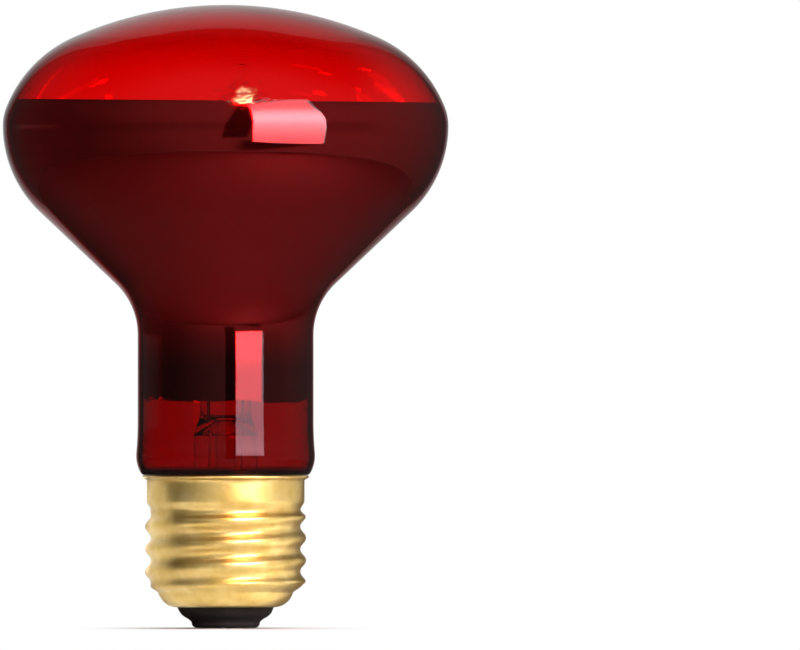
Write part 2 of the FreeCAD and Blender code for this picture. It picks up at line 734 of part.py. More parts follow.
def make_screw_shell():
    """The screw shell is one thin brass cup: collar and lip, helical thread, and a rounded shoulder."""
    outer_below = [("0", "mouth_height")]
    outer_above = [
        (COLLAR, f"{CEMENT_TOP} - lip_edge"),
        (LIP, "lip_height - lip_edge"),
        (LIP, "lip_height"),
        ("0", "lip_height"),
    ]
    inner_below = [("0", "0"), ("mouth_diameter / 2", "0")]
    inner_above = [
        (f"{COLLAR} - shell_wall", CEMENT_TOP),
        (f"{LIP} - shell_wall", "lip_height"),
        (f"{LIP} - shell_wall", "lip_height + lip_edge"),
        ("0", "lip_height + lip_edge"),
    ]
    outside = shell_form("shell_outside", "0", (outer_below, outer_above))
    inside = shell_form("shell_inside", "shell_wall", (inner_below, inner_above))
    return cut("screw_shell", outside, [inside]), outside


def make_capping_cement():
    """The baked cement ring between the glass sleeve and the collar, with a channel for the side wire."""
    bottom = f"{CEMENT_TOP} - cement_depth"
    ring = turned_body("cement_ring", [
        (SLEEVE, bottom),
        (f"{COLLAR} - shell_wall", bottom),
        (f"{COLLAR} - shell_wall", CEMENT_TOP),
        (SLEEVE, CEMENT_TOP),
    ])
    channel_place = ("-cement_slot_width / 2", f"{SLEEVE} - glass_wall", bottom)
    channel = primitive("Box", "wire_channel", at=channel_place, Length="cement_slot_width",
                        Width="glass_wall + cement_slot_depth", Height="cement_depth")
    return cut("capping_cement", ring, [channel])


# Insulator and contacts
def make_base_insulator():
    """Black glass, poured into the shell's mouth and pressed to a cone with a round boss."""
    return turned_body("base_insulator", [
        ("eyelet_diameter / 2", "shoulder_top"),
        ("eyelet_diameter / 2", "contact_recess + contact_thickness"),
        ("contact_diameter / 2", "contact_recess + contact_thickness"),
        ("contact_diameter / 2", "contact_recess"),
        ("boss_diameter / 2 - boss_round", "contact_recess", "boss_round", -1),
        ("boss_diameter / 2", "contact_recess + boss_round"),
        ("step_diameter / 2", "step_height", "insulator_round", -1),
        ("insulator_diameter / 2", "mouth_height"),
        ("mouth_diameter / 2", "mouth_height"),
        ("mouth_diameter / 2", "mouth_height + shell_wall", "shoulder_round - shell_wall", -1),
        (f"{SHOULDER} - shell_wall", "shoulder_top"),
    ])


def make_centre_contact():
    """A brass eyelet: a disc let into the boss, with a tube up through the black glass."""
    return turned_body("centre_contact", [
        ("eyelet_diameter / 2 - eyelet_wall", "contact_recess"),
        ("contact_diameter / 2", "contact_recess"),
        ("contact_diameter / 2", "contact_recess + contact_thickness"),
        ("eyelet_diameter / 2", "contact_recess + contact_thickness"),
        ("eyelet_diameter / 2", "contact_recess + eyelet_length"),
        ("eyelet_diameter / 2 - eyelet_wall", "contact_recess + eyelet_length"),
    ])


def make_tip_solder(centre_lead):
    """Solder run into the eyelet round the centre wire, flattened at the tip."""
    drop = turned_body("tip_solder_drop", [
        ("0", "0"),
        ("tip_flat_diameter / 2", "0"),
        ("tip_solder_diameter / 2", "contact_recess"),
        ("eyelet_diameter / 2 - eyelet_wall", "contact_recess"),
        ("eyelet_diameter / 2 - eyelet_wall", "tip_solder_depth"),
        ("0", "tip_solder_depth"),
    ])
    return cut("tip_solder", drop, [centre_lead])


def make_side_solder(side_lead, shell_outside):
    """The bead of solder that joins the side wire to the lip at the back."""
    bead = primitive("Sphere", "side_solder_bead",
                     at=("0", f"{LIP} - side_solder_sink", "lip_height - side_solder_drop"),
                     Radius="side_solder_radius")
    return cut("side_solder", bead, [shell_outside, side_lead])


# The whole bulb
def build():
    seal_wires = make_seal_wires()
    supports = make_filament_supports()
    centre_lead, side_lead = make_centre_lead(), make_side_lead()
    screw_shell, shell_outside = make_screw_shell()
    return [
        make_glass_envelope(),
        make_reflector_coating(),
        make_stem_flare(seal_wires),
        make_exhaust_tube(),
        make_stem_arbor(supports),
        *seal_wires,
        *make_inner_leads(),
        *supports,
        make_filament(),
        centre_lead,
        side_lead,
        screw_shell,
        make_capping_cement(),
        make_base_insulator(),
        make_centre_contact(),
        make_tip_solder(centre_lead),
        make_side_solder(side_lead, shell_outside),
    ]


def check(pieces):
    """Stop with a plain message if any object failed or any piece isn't one sound solid."""
    for thing in document.Objects:
        if {"Invalid", "Error"} & set(thing.State):
            raise RuntimeError(f"{thing.Label} failed: {thing.State}")
    for piece in pieces:
        shape = piece.Shape
        if shape.isNull() or not shape.isValid() or not shape.Solids:
            raise RuntimeError(f"{piece.Label} has no sound shape")


pieces = build()
document.recompute()
check(pieces)
os.makedirs("parts", exist_ok=True)
for piece in pieces:
    piece.Shape.exportStep(f"parts/{piece.Label}.step")
    print(f"{piece.Label}: {len(piece.Shape.Solids)} solid, {piece.Shape.Volume:.2f} cubic mm")
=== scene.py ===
import math

import bpy
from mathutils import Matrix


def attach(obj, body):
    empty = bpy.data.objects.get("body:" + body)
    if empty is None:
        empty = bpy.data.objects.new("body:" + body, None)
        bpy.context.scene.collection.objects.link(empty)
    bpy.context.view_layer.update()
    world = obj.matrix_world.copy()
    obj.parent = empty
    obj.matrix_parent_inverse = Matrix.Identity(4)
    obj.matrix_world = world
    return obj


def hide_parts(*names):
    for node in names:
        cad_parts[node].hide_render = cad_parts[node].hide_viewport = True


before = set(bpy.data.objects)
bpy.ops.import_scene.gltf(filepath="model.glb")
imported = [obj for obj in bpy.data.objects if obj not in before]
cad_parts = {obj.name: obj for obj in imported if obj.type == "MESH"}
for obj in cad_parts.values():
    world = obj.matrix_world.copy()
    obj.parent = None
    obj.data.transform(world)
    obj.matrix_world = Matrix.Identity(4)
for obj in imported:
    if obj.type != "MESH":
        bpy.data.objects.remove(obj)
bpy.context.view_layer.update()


# The bulb itself: one piece of ruby soda-lime glass, blown in a mould. A clear dome runs into a bowl that
# stands on a straight neck. The neck's foot swells a little, turns under above the cap's rim, and goes on
# inside the cap as a narrower sleeve that is melted to the stem's flare.
MM = 0.001  # sizes are written in millimetres, as heights over the tip and radii from the axis
CROWN_HEIGHT = 100.7
WIDEST_HEIGHT = 81.2
WIDEST_RADIUS = 36.0
DOME_RADIUS = 60.5
SHOULDER_RADIUS = 20.6
BELLY_RADIUS = 8.0
BOWL_RADIUS = 19.2
CONE_HALF_ANGLE = 46.6
NECK_BLEND_RADIUS = 11.35
NECK_RADIUS = 14.2
GLASS_WALL = 0.9
FOOT_RADIUS = 5.7
FOOT_HEIGHT = 27.9
FOOT_REACH = 14.45
FOOT_BLEND_RADIUS = 60.0
HEEL_RADIUS = 0.8
INNER_HEEL_RADIUS = 0.6
LEDGE_HEIGHT = 24.75
LEDGE_ROUND = 0.3
SLEEVE_RADIUS = 11.4
SEAL_HEIGHT = 15.5
RUBY = "FB1830"
RUBY_DENSITY = 4000
# painted shade for the neck's glass, and the heights where it is full and where it is gone
NECK_PAINTED_SHADE = "BE9090"
NECK_PAINTED_SHADE_FULL = 41
NECK_PAINTED_SHADE_GONE = 50
CHILL_PLACE = (-2.5, 31, -88.5)
CHILL_REACH = 9
CHILL_UNIT = 25 / 13


def arc(centre, radius, start, finish, step=0.8):
    """Points about a step apart on an arc round (radius, height). Degrees count from the outward level."""
    turn = math.radians(finish - start)
    count = max(5, math.ceil(abs(turn) * radius / step))
    angles = [math.radians(start) + turn * number / count for number in range(count + 1)]
    return [(centre[0] + radius * math.cos(angle), centre[1] + radius * math.sin(angle)) for angle in angles]


def bulb_outline(inset):
    """The outline from crown to the top of the neck, moved in by inset, as arcs that run into each other."""
    dome, shoulder, belly = DOME_RADIUS - inset, SHOULDER_RADIUS - inset, BELLY_RADIUS - inset
    bowl, blend = BOWL_RADIUS - inset, NECK_BLEND_RADIUS + inset
    widest, neck = WIDEST_RADIUS - inset, NECK_RADIUS - inset
    dome_z = CROWN_HEIGHT - DOME_RADIUS
    belly_x = widest - belly
    # the shoulder's centre lies where it touches both the dome and the belly from inside
    gap = math.hypot(belly_x, WIDEST_HEIGHT - dome_z)
    far, near = dome - shoulder, shoulder - belly
    along = (far**2 - near**2 + gap**2) / (2 * gap)
    across = math.sqrt(far**2 - along**2)
    unit = (belly_x / gap, (WIDEST_HEIGHT - dome_z) / gap)
    shoulder_x = unit[0] * along - unit[1] * across
    shoulder_z = dome_z + unit[1] * along + unit[0] * across
    dome_turn = math.degrees(math.atan2(shoulder_z - dome_z, shoulder_x))
    belly_turn = math.degrees(math.atan2(shoulder_z - WIDEST_HEIGHT, shoulder_x - belly_x)) + 180
    slope = math.radians(CONE_HALF_ANGLE)
    bowl_x = widest - bowl
    cone_top = (bowl_x + bowl * math.cos(slope), WIDEST_HEIGHT - bowl * math.sin(slope))
    blend_x = neck + blend
    run = (cone_top[0] - blend_x + blend * math.cos(slope)) / math.sin(slope)
    blend_z = cone_top[1] - run * math.cos(slope) - blend * math.sin(slope)
    points = arc((0, dome_z), dome, 90, dome_turn)
    points += arc((shoulder_x, shoulder_z), shoulder, dome_turn, belly_turn)[1:]
    points += arc((belly_x, WIDEST_HEIGHT), belly, belly_turn, 0)[1:]
    points += arc((bowl_x, WIDEST_HEIGHT), bowl, 0, -CONE_HALF_ANGLE)[1:]
    points += arc((blend_x, blend_z), blend, 180 - CONE_HALF_ANGLE, 180)
    return [(0.0, points[0][1])] + points[1:]


def run_down(radius, top, bottom, step=1.5):
    """Points under the top of an upright wall, down to its bottom."""
    count = max(2, math.ceil((top - bottom) / step))
    return [(radius, top + (bottom - top) * number / count) for number in range(1, count + 1)]


def foot_line(inset, heel):
    """The neck and its swollen foot, from the outline's end to where the glass turns in."""
    level = LEDGE_HEIGHT + inset
    centre = (FOOT_REACH - FOOT_RADIUS, FOOT_HEIGHT)
    blend_x = NECK_RADIUS + FOOT_BLEND_RADIUS
    rise = math.sqrt((FOOT_RADIUS + FOOT_BLEND_RADIUS) ** 2 - (blend_x - centre[0]) ** 2)
    turn = math.degrees(math.asin(rise / (FOOT_RADIUS + FOOT_BLEND_RADIUS)))
    foot = FOOT_RADIUS - inset
    lean = math.asin((FOOT_HEIGHT - level - heel) / (foot - heel))
    heel_centre = (centre[0] + (foot - heel) * math.cos(lean), level + heel)
    points = run_down(NECK_RADIUS - inset, bulb_outline(inset)[-1][1], FOOT_HEIGHT + rise)
    points += arc((blend_x, FOOT_HEIGHT + rise), FOOT_BLEND_RADIUS + inset, 180, 180 + turn)[1:]
    points += arc(centre, foot, turn, -math.degrees(lean), 0.3)[1:]
    return points + arc(heel_centre, heel, -math.degrees(lean), -90, 0.12)[1:]


def envelope_profile():
    """Outside from the crown to the seal, then inside from the seal back to the crown."""
    outside = bulb_outline(0) + foot_line(0, HEEL_RADIUS) + [(SLEEVE_RADIUS + LEDGE_ROUND, LEDGE_HEIGHT)]
    outside += arc((SLEEVE_RADIUS + LEDGE_ROUND, LEDGE_HEIGHT - LEDGE_ROUND), LEDGE_ROUND, 90, 180, 0.1)[1:]
    outside += run_down(SLEEVE_RADIUS, LEDGE_HEIGHT - LEDGE_ROUND, SEAL_HEIGHT)
    bore, shelf = SLEEVE_RADIUS - GLASS_WALL, LEDGE_HEIGHT + GLASS_WALL
    inside = bulb_outline(GLASS_WALL) + foot_line(GLASS_WALL, INNER_HEEL_RADIUS)
    inside += arc((bore - LEDGE_ROUND, shelf - LEDGE_ROUND), LEDGE_ROUND, 90, 0, 0.1)
    inside += run_down(bore, shelf - LEDGE_ROUND, SEAL_HEIGHT)
    return outside + inside[::-1]


def turned(name, profile, around=256, closed=False, swell=None):
    """Turn a profile of (radius, height) about the bulb's axis into a smooth piece. A closed one joins its
    last point to its first, and swell(angle, radius, height) gives the place that a point takes in the end."""
    vertices, rings = [], []
    for radius, height in profile:
        if radius < 1e-6:
            rings.append([len(vertices)] * around)
            vertices.append((0, 0, height * MM))
            continue
        rings.append(list(range(len(vertices), len(vertices) + around)))
        for number in range(around):
            angle = 2 * math.pi * number / around
            out, level = swell(angle, radius, height) if swell else (radius, height)
            vertices.append((out * MM * math.cos(angle), out * MM * math.sin(angle), level * MM))
    faces = []
    pairs = list(zip(rings, rings[1:])) + ([(rings[-1], rings[0])] if closed else [])
    for upper, lower in pairs:
        for number in range(around):
            after = (number + 1) % around
            corners = [upper[number], lower[number], lower[after], upper[after]]
            face = [corner for place, corner in enumerate(corners) if corner not in corners[:place]]
            if len(face) > 2:
                faces.append(face)
    return smooth_piece(name, vertices, faces)


def smooth_piece(name, vertices, faces, crease=40):
    """A smooth-shaded piece that rides with the bulb, with its corners over crease degrees kept sharp."""
    mesh = bpy.data.meshes.new(name)
    mesh.from_pydata(vertices, [], faces)
    mesh.shade_smooth()
    mesh.set_sharp_from_angle(angle=math.radians(crease))
    piece = bpy.data.objects.new(name, mesh)
    bpy.context.scene.collection.objects.link(piece)
    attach(piece, "root")
    return piece


def linear(code):
    """A colour written as sRGB hex, as the linear values that a shader takes."""
    shares = [int(code[place : place + 2], 16) / 255 for place in (0, 2, 4)]
    return tuple(s / 12.92 if s <= 0.04045 else ((s + 0.055) / 1.055) ** 2.4 for s in shares) + (1.0,)


def new_material(name):
    """A material with its node tree and its shader."""
    material = bpy.data.materials.new(name)
    material.use_nodes = True
    return material, material.node_tree, material.node_tree.nodes["Principled BSDF"]


def add_node(tree, kind, feeds=None, **settings):
    """Add one shader node. A setting is the node's own, or else fills the socket that it is named for.
    feeds are {socket: what feeds it}: an output, a node for its first output, or a plain number or vector."""
    node = tree.nodes.new("ShaderNode" + kind)
    for key, setting in settings.items():
        if hasattr(node, key):
            setattr(node, key, setting)
        else:
            node.inputs[key.replace("_", " ")].default_value = setting
    for socket, feed in (feeds or {}).items():
        if isinstance(feed, (int, float, tuple)):
            node.inputs[socket].default_value = feed
        else:
            tree.links.new(feed.outputs[0] if isinstance(feed, bpy.types.Node) else feed, node.inputs[socket])
    return node


def spaced(size):
    """The scale of a pattern whose blots or lines are size millimetres apart."""
    return 1 / (size * MM)


def dress(piece, material, slot, *replaced):
    """Give a piece its material, and hide the CAD nodes that it stands for. The slot is not used."""
    piece.data.materials.clear()
    piece.data.materials.append(material)
    if replaced:
        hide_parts(*replaced)


# Ruby glass takes its red from copper or selenium in the melt. To the eye it is clear, with a hard gloss,
# deeper where the wall is seen along its length, and the mould leaves it very slightly uneven.
def ruby_glass():
    material, tree, shader = new_material("blown_ruby_glass")
    shader.inputs["Roughness"].default_value = 0.0
    shader.inputs["IOR"].default_value = 1.5
    shader.inputs["Transmission Weight"].default_value = 1.0
    place = add_node(tree, "TexCoord")
    # blown walls wander over about 30 mm, and the mould's chill marks are under 2 mm apart
    waves = add_node(tree, "TexNoise", {"Vector": place.outputs["Object"]}, Scale=spaced(200 / 7), Detail=1.0)
    marks = add_node(tree, "TexNoise", {"Vector": place.outputs["Object"]}, Scale=spaced(5 / 3), Detail=2.0)
    soft = add_node(tree, "Bump", {"Height": waves.outputs["Fac"]}, Strength=0.35, Distance=0.4 * MM)
    fine = add_node(tree, "Bump", {"Height": marks.outputs["Fac"], "Normal": soft.outputs["Normal"]},
                    Strength=0.10, Distance=0.04 * MM)
    # rings where the gob first touched the mould; this texture draws a ring each pi / 10 of its unit, or 0.6 mm
    touch = add_node(tree, "Mapping", {"Vector": place.outputs["Object"]},
                     Location=tuple(side * MM for side in CHILL_PLACE))
    rings = add_node(tree, "TexWave", {"Vector": touch.outputs["Vector"]}, wave_type="RINGS",
                     rings_direction="SPHERICAL", Scale=spaced(CHILL_UNIT), Distortion=7.0,
                     Detail=3.0, Detail_Scale=1.4)
    off = add_node(tree, "VectorMath", {0: touch.outputs["Vector"]}, operation="LENGTH")
    near = add_node(tree, "MapRange", {"Value": off.outputs["Value"]}, interpolation_type="SMOOTHSTEP",
                    From_Min=CHILL_REACH * MM, From_Max=0.0)
    chill = add_node(tree, "Math", {0: rings.outputs["Fac"], 1: near.outputs["Result"]}, operation="MULTIPLY")
    ringed = add_node(tree, "Bump", {"Height": chill.outputs[0], "Normal": fine.outputs["Normal"]},
                      Strength=0.6, Distance=0.04 * MM)
    tree.links.new(ringed.outputs["Normal"], shader.inputs["Normal"])
    # painted shade: the neck's glass is tinted a greyer, darker red than the dome, full below the lower height and
    # gone above the upper
    high = add_node(tree, "SeparateXYZ", {"Vector": place.outputs["Object"]})
    depth = add_node(tree, "MapRange", {"Value": high.outputs["Z"]}, interpolation_type="SMOOTHSTEP",
                     From_Min=NECK_PAINTED_SHADE_FULL * MM, From_Max=NECK_PAINTED_SHADE_GONE * MM)
    tone = add_node(tree, "MixRGB", {"Fac": depth.outputs["Result"]}, Color1=linear(NECK_PAINTED_SHADE),
                    Color2=linear("FFFFFF"))
    tree.links.new(tone.outputs["Color"], shader.inputs["Base Color"])
    stain = add_node(tree, "VolumeAbsorption", Color=linear(RUBY), Density=RUBY_DENSITY)
    tree.links.new(stain.outputs["Volume"], tree.nodes["Material Output"].inputs["Volume"])
    return material


envelope = turned("bulb_glass", envelope_profile())
dress(envelope, ruby_glass(), "ruby_glass", "glass_envelope")


# The reflector: aluminium boiled off inside the finished bulb, so it covers the bowl and the top of the
# neck as a film with no thickness to speak of. The window's edge is masked and clean, and the edge in the
# neck, where the vapour thinned out, is not.
FILM_GAP = 0.05
FILM_THICKNESS = 0.1
FILM_TOP = 84.9
FILM_BOTTOM = 36.9
FILM_WANDER = 0.35
FILM_TILT = 0.0082
EDGE_REACH = 3
EDGE_SPACE = 0.2
DOME_SLOPE = 0.35


def film_line(inset):
    """One side of the film from the window's edge to the neck."""
    outline = [point for point in bulb_outline(inset) if point[1] < FILM_TOP - EDGE_SPACE]
    before = [point for point in bulb_outline(inset) if point[1] >= FILM_TOP - EDGE_SPACE][-1]
    share = (before[1] - FILM_TOP) / (before[1] - outline[0][1])
    edge = (before[0] + (outline[0][0] - before[0]) * share, FILM_TOP)
    return [edge] + outline + run_down(NECK_RADIUS - inset, outline[-1][1], FILM_BOTTOM)


def wander(angle, radius, height):
    """Let the film's lower edge run unevenly round the neck, and tilt the window's edge along the dome."""
    near = max(0.0, 1 - (height - FILM_BOTTOM) / EDGE_REACH)
    ripple = math.sin(2 * angle + 0.6) + 0.6 * math.sin(5 * angle + 2.1) + 0.3 * math.sin(11 * angle + 4.0)
    tilt = FILM_TILT * radius * math.cos(angle) * max(0.0, 1 - (FILM_TOP - height) / EDGE_REACH)
    return radius + DOME_SLOPE * tilt, height + near * FILM_WANDER * ripple - tilt


# Evaporated aluminium has the glass's own smoothness, so it is a true mirror, a little cloudier in places.
def bright_film():
    material, tree, shader = new_material("evaporated_aluminium")
    shader.inputs["Metallic"].default_value = 1.0
    place = add_node(tree, "TexCoord")
    cloud = add_node(tree, "TexNoise", {"Vector": place.outputs["Object"]}, Scale=spaced(50 / 3), Detail=3.0)
    tone = add_node(tree, "ValToRGB", {"Fac": cloud.outputs["Fac"]})
    tone.color_ramp.elements[0].color = linear("E4E5E6")
    tone.color_ramp.elements[1].color = linear("F4F5F5")
    haze = add_node(tree, "MapRange", {"Value": cloud.outputs["Fac"]}, To_Min=0.02, To_Max=0.06)
    tree.links.new(tone.outputs["Color"], shader.inputs["Base Color"])
    tree.links.new(haze.outputs["Result"], shader.inputs["Roughness"])
    return material


film_profile = film_line(GLASS_WALL + FILM_GAP) + film_line(GLASS_WALL + FILM_GAP + FILM_THICKNESS)[::-1]
film = turned("reflector_film", film_profile, closed=True, swell=wander)
dress(film, bright_film(), "mirror_film", "reflector_coating")


# The stem: a clear lead-glass tube, flared at its foot to meet the sleeve and pinched flat at its head on
# two wires. A rod with a round button stands on the pinch, and the pump's tube hangs below it, melted shut.
STEM_RADIUS = 5.15
STEM_WALL = 0.9
FLARE_TOP = 20.5
SQUASH_FOOT = 31.0
PRESS_FOOT = 34.6
PRESS_TOP = 38.0
PRESS_HALF_WIDTH = 4.15
PRESS_HALF_DEPTH = 1.7
PRESS_ROUND = 0.5
BORE_END = 33.2
EXHAUST_RADIUS = 1.9
ARBOR_RADIUS = 1.5
BUTTON_RADIUS = 2.6
BUTTON_HEIGHT = 60.0


def eased(share):
    """A share that leaves 0 and reaches 1 gently."""
    share = min(1.0, max(0.0, share))
    return share * share * (3 - 2 * share)


def squash(angle, radius, height):
    """Press the tube's head from a circle to a flat oval, and leave its bore round."""
    bore = radius < STEM_RADIUS - 0.2 and height < PRESS_TOP - PRESS_ROUND - 0.1
    if height <= SQUASH_FOOT or bore:
        return radius, height
    share = eased((height - SQUASH_FOOT) / (PRESS_FOOT - SQUASH_FOOT))
    wide = STEM_RADIUS + (PRESS_HALF_WIDTH - STEM_RADIUS) * share
    deep = STEM_RADIUS + (PRESS_HALF_DEPTH - STEM_RADIUS) * share
    oval = wide * deep / math.hypot(deep * math.cos(angle), wide * math.sin(angle))
    return oval * radius / STEM_RADIUS, height


def stem_profile():
    """Down the outside from the middle of the press to the bell's rim, and up the bore."""
    outside = [(0.0, PRESS_TOP), (STEM_RADIUS - 1.2, PRESS_TOP)]
    outside += arc((STEM_RADIUS - PRESS_ROUND, PRESS_TOP - PRESS_ROUND), PRESS_ROUND, 90, 0, 0.15)
    outside += run_down(STEM_RADIUS, PRESS_TOP - PRESS_ROUND, FLARE_TOP, 0.6)
    outside += [(SLEEVE_RADIUS - GLASS_WALL, SEAL_HEIGHT), (SLEEVE_RADIUS, SEAL_HEIGHT)]
    rim = SEAL_HEIGHT - STEM_WALL
    inside = [(SLEEVE_RADIUS, rim), (SLEEVE_RADIUS - GLASS_WALL - STEM_WALL, rim)]
    inside += [(STEM_RADIUS - STEM_WALL, FLARE_TOP - STEM_WALL), (STEM_RADIUS - STEM_WALL, SQUASH_FOOT)]
    inside += [(EXHAUST_RADIUS, BORE_END), (0.0, BORE_END)]
    return outside + inside


# Lead glass is clear and bright, with soft flow lines where the tube was heated and pinched.
def clear_glass():
    material, tree, shader = new_material("clear_lead_glass")
    shader.inputs["Base Color"].default_value = linear("FCFDFC")
    shader.inputs["Roughness"].default_value = 0.0
    shader.inputs["IOR"].default_value = 1.56
    shader.inputs["Transmission Weight"].default_value = 1.0
    place = add_node(tree, "TexCoord")
    drawn = add_node(tree, "Mapping", {"Vector": place.outputs["Object"]}, Scale=(1, 1, 0.15))
    flow = add_node(tree, "TexNoise", {"Vector": drawn.outputs["Vector"]}, Scale=spaced(2.0), Detail=2.0)
    bump = add_node(tree, "Bump", {"Height": flow.outputs["Fac"]}, Strength=0.25, Distance=0.1 * MM)
    tree.links.new(bump.outputs["Normal"], shader.inputs["Normal"])
    return material


stem_glass = clear_glass()
stem = turned("stem_tube", stem_profile(), around=96, swell=squash)
dress(stem, stem_glass, "stem_glass", "stem_flare")

button_meet = BUTTON_HEIGHT - math.sqrt(BUTTON_RADIUS**2 - ARBOR_RADIUS**2)
button_turn = math.degrees(math.asin((button_meet - BUTTON_HEIGHT) / BUTTON_RADIUS))
rod_profile = arc((0, BUTTON_HEIGHT), BUTTON_RADIUS, 90, button_turn, 0.3)
rod_profile += run_down(ARBOR_RADIUS, button_meet, PRESS_TOP) + [(0.0, PRESS_TOP)]
rod = turned("arbor_rod", [(0.0, rod_profile[0][1])] + rod_profile[1:], around=64)
dress(rod, stem_glass, "stem_glass", "stem_arbor")
dress(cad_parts["exhaust_tube"], stem_glass, "stem_glass")


# The wires, each a CAD node that keeps its shape: copper-clad wires sealed in the press, nickel leads that
# hold the filament, molybdenum supports pushed hot into the button, and bare copper down to the cap.
WIRE_SHADE = 0.6


def drawn_wire(name, code, low, high):
    """Wire pulled through a die is bright, with a slightly uneven shade and dullness."""
    material, tree, shader = new_material(name)
    shader.inputs["Metallic"].default_value = 1.0
    place = add_node(tree, "TexCoord")
    # the real grain is far finer, and is drawn coarse enough to show on a wire
    grain = add_node(tree, "TexNoise", {"Vector": place.outputs["Object"]}, Scale=spaced(2 / 3), Detail=3.0)
    shade = add_node(tree, "MixRGB", {"Fac": grain.outputs["Fac"]}, Color1=linear(code),
                     Color2=tuple(WIRE_SHADE * part for part in linear(code)[:3]) + (1,))
    dull = add_node(tree, "MapRange", {"Value": grain.outputs["Fac"]}, To_Min=low, To_Max=high)
    tree.links.new(shade.outputs["Color"], shader.inputs["Base Color"])
    tree.links.new(dull.outputs["Result"], shader.inputs["Roughness"])
    return material


seal_copper = drawn_wire("copper_clad_wire", "C07A55", 0.25, 0.45)
nickel = drawn_wire("nickel_wire", "C9C4B8", 0.15, 0.35)
molybdenum = drawn_wire("molybdenum_wire", "9A9A9C", 0.2, 0.4)
bare_copper = drawn_wire("bare_copper_wire", "D08A5C", 0.2, 0.4)
for node, material, slot in (
    ("seal_wire_left", seal_copper, "seal_wire"),
    ("seal_wire_right", seal_copper, "seal_wire"),
    ("inner_lead_left", nickel, "nickel_lead"),
    ("inner_lead_right", nickel, "nickel_lead"),
    ("filament_support_1", molybdenum, "support_wire"),
    ("filament_support_2", molybdenum, "support_wire"),
    ("filament_support_3", molybdenum, "support_wire"),
    ("centre_lead", bare_copper, "outer_lead"),
    ("side_lead", bare_copper, "outer_lead"),
):
    dress(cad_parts[node], material, slot)


# The filament: tungsten wire wound in an open coil, clamped on the leads' hooks and carried by the three
# supports. It is drawn as one round wire along a helix.
FILAMENT_HEIGHT = 64.0
FILAMENT_LENGTH = 20.4
COIL_RADIUS = 0.67
COIL_WIRE = 0.24
COIL_TURNS = 44
STEPS_A_TURN = 20
WIRE_SIDES = 8


def coil_mesh():
    """Rings of points round the helix, each set square to the wire."""
    vertices, faces = [], []
    middle = COIL_RADIUS - COIL_WIRE / 2
    run = FILAMENT_LENGTH - COIL_WIRE
    steps = COIL_TURNS * STEPS_A_TURN
    for step in range(steps + 1):
        turn = 2 * math.pi * step / STEPS_A_TURN
        along = -run / 2 + run * step / steps
        for side in range(WIRE_SIDES):
            round_wire = 2 * math.pi * side / WIRE_SIDES
            out = middle + COIL_WIRE / 2 * math.cos(round_wire)
            vertices.append(((along + COIL_WIRE / 2 * math.sin(round_wire)) * MM, out * math.sin(turn) * MM,
                             (FILAMENT_HEIGHT + out * math.cos(turn)) * MM))
    for step in range(steps):
        for side in range(WIRE_SIDES):
            after = (side + 1) % WIRE_SIDES
            start, finish = step * WIRE_SIDES, (step + 1) * WIRE_SIDES
            faces.append([start + side, start + after, finish + after, finish + side])
    faces.append(list(range(WIRE_SIDES))[::-1])
    faces.append(list(range(steps * WIRE_SIDES, (steps + 1) * WIRE_SIDES)))
    return vertices, faces


coil = smooth_piece("filament_coil", *coil_mesh(), crease=60)
dress(coil, drawn_wire("tungsten_wire", "8A8B8E", 0.3, 0.5), "filament_wire", "filament")


# The screw shell: one thin brass cup, drawn from sheet and rolled between dies, so that the thread stands
# on both faces of the wall. Its lip is belled out, its collar is plain, and its foot is rounded in.
THREAD_ROOT = 12.07
THREAD_DEPTH = 0.93
THREAD_PITCH = 3.629
CREST_HEIGHT = 14.64
THREAD_TOP = 18.4
THREAD_BOTTOM = 7.3
THREAD_OVER = 0.5
RUNOUT = 1.0
RUNOUT_LENGTH = 1.5
CREST_BREADTH = 0.25
SHELL_WALL = 0.3
COLLAR_RADIUS = 12.75
COLLAR_BOTTOM = 20.6
COLLAR_NECKING = 1.5
LIP_RADIUS = 13.45
LIP_HEIGHT = 24.7
LIP_BELL = 0.8
LIP_FLARE = 0.7
LIP_STEPS = 5
SHOULDER_TOP = 5.85
SHOULDER_REACH = 10.9
SHOULDER_ROUND = 3.17
SHOULDER_STEPS = 6
SHOULDER_EASE = 0.75
MOUTH_RADIUS = 8.0
MOUTH_HEIGHT = 3.43


def thread(angle, radius, height):
    """Raise the rolled thread on a wall: it climbs to the right and runs out at both ends."""
    fade = eased((height - THREAD_BOTTOM + RUNOUT) / RUNOUT_LENGTH)
    fade *= eased((THREAD_TOP + RUNOUT - height) / RUNOUT_LENGTH)
    # beyond the thread's ends and inside the shoulder the wall stays as it was drawn
    if fade == 0 or radius < SHOULDER_REACH - 0.5:
        return radius, height
    turns = (height - CREST_HEIGHT) / THREAD_PITCH - angle / (2 * math.pi)
    wave = 0.5 + 0.5 * math.cos(2 * math.pi * turns)
    # rolled crests are rounder and broader than a plain wave
    return radius + fade * THREAD_DEPTH * (CREST_BREADTH * eased(wave) + (1 - CREST_BREADTH) * wave), height


def shoulder_arc(inset):
    """The rounded foot of the shell, from its side to its mouth."""
    start, finish = (SHOULDER_REACH - inset, SHOULDER_TOP), (MOUTH_RADIUS, MOUTH_HEIGHT + inset)
    radius = SHOULDER_ROUND - inset
    chord = math.dist(start, finish)
    reach = math.sqrt(radius**2 - chord**2 / 4)
    across = ((start[1] - finish[1]) / chord, -(start[0] - finish[0]) / chord)
    centre = ((start[0] + finish[0]) / 2 - across[0] * reach, (start[1] + finish[1]) / 2 - across[1] * reach)
    angles = [math.degrees(math.atan2(point[1] - centre[1], point[0] - centre[0])) for point in (start, finish)]
    return arc(centre, radius, angles[0], angles[1], 0.2)


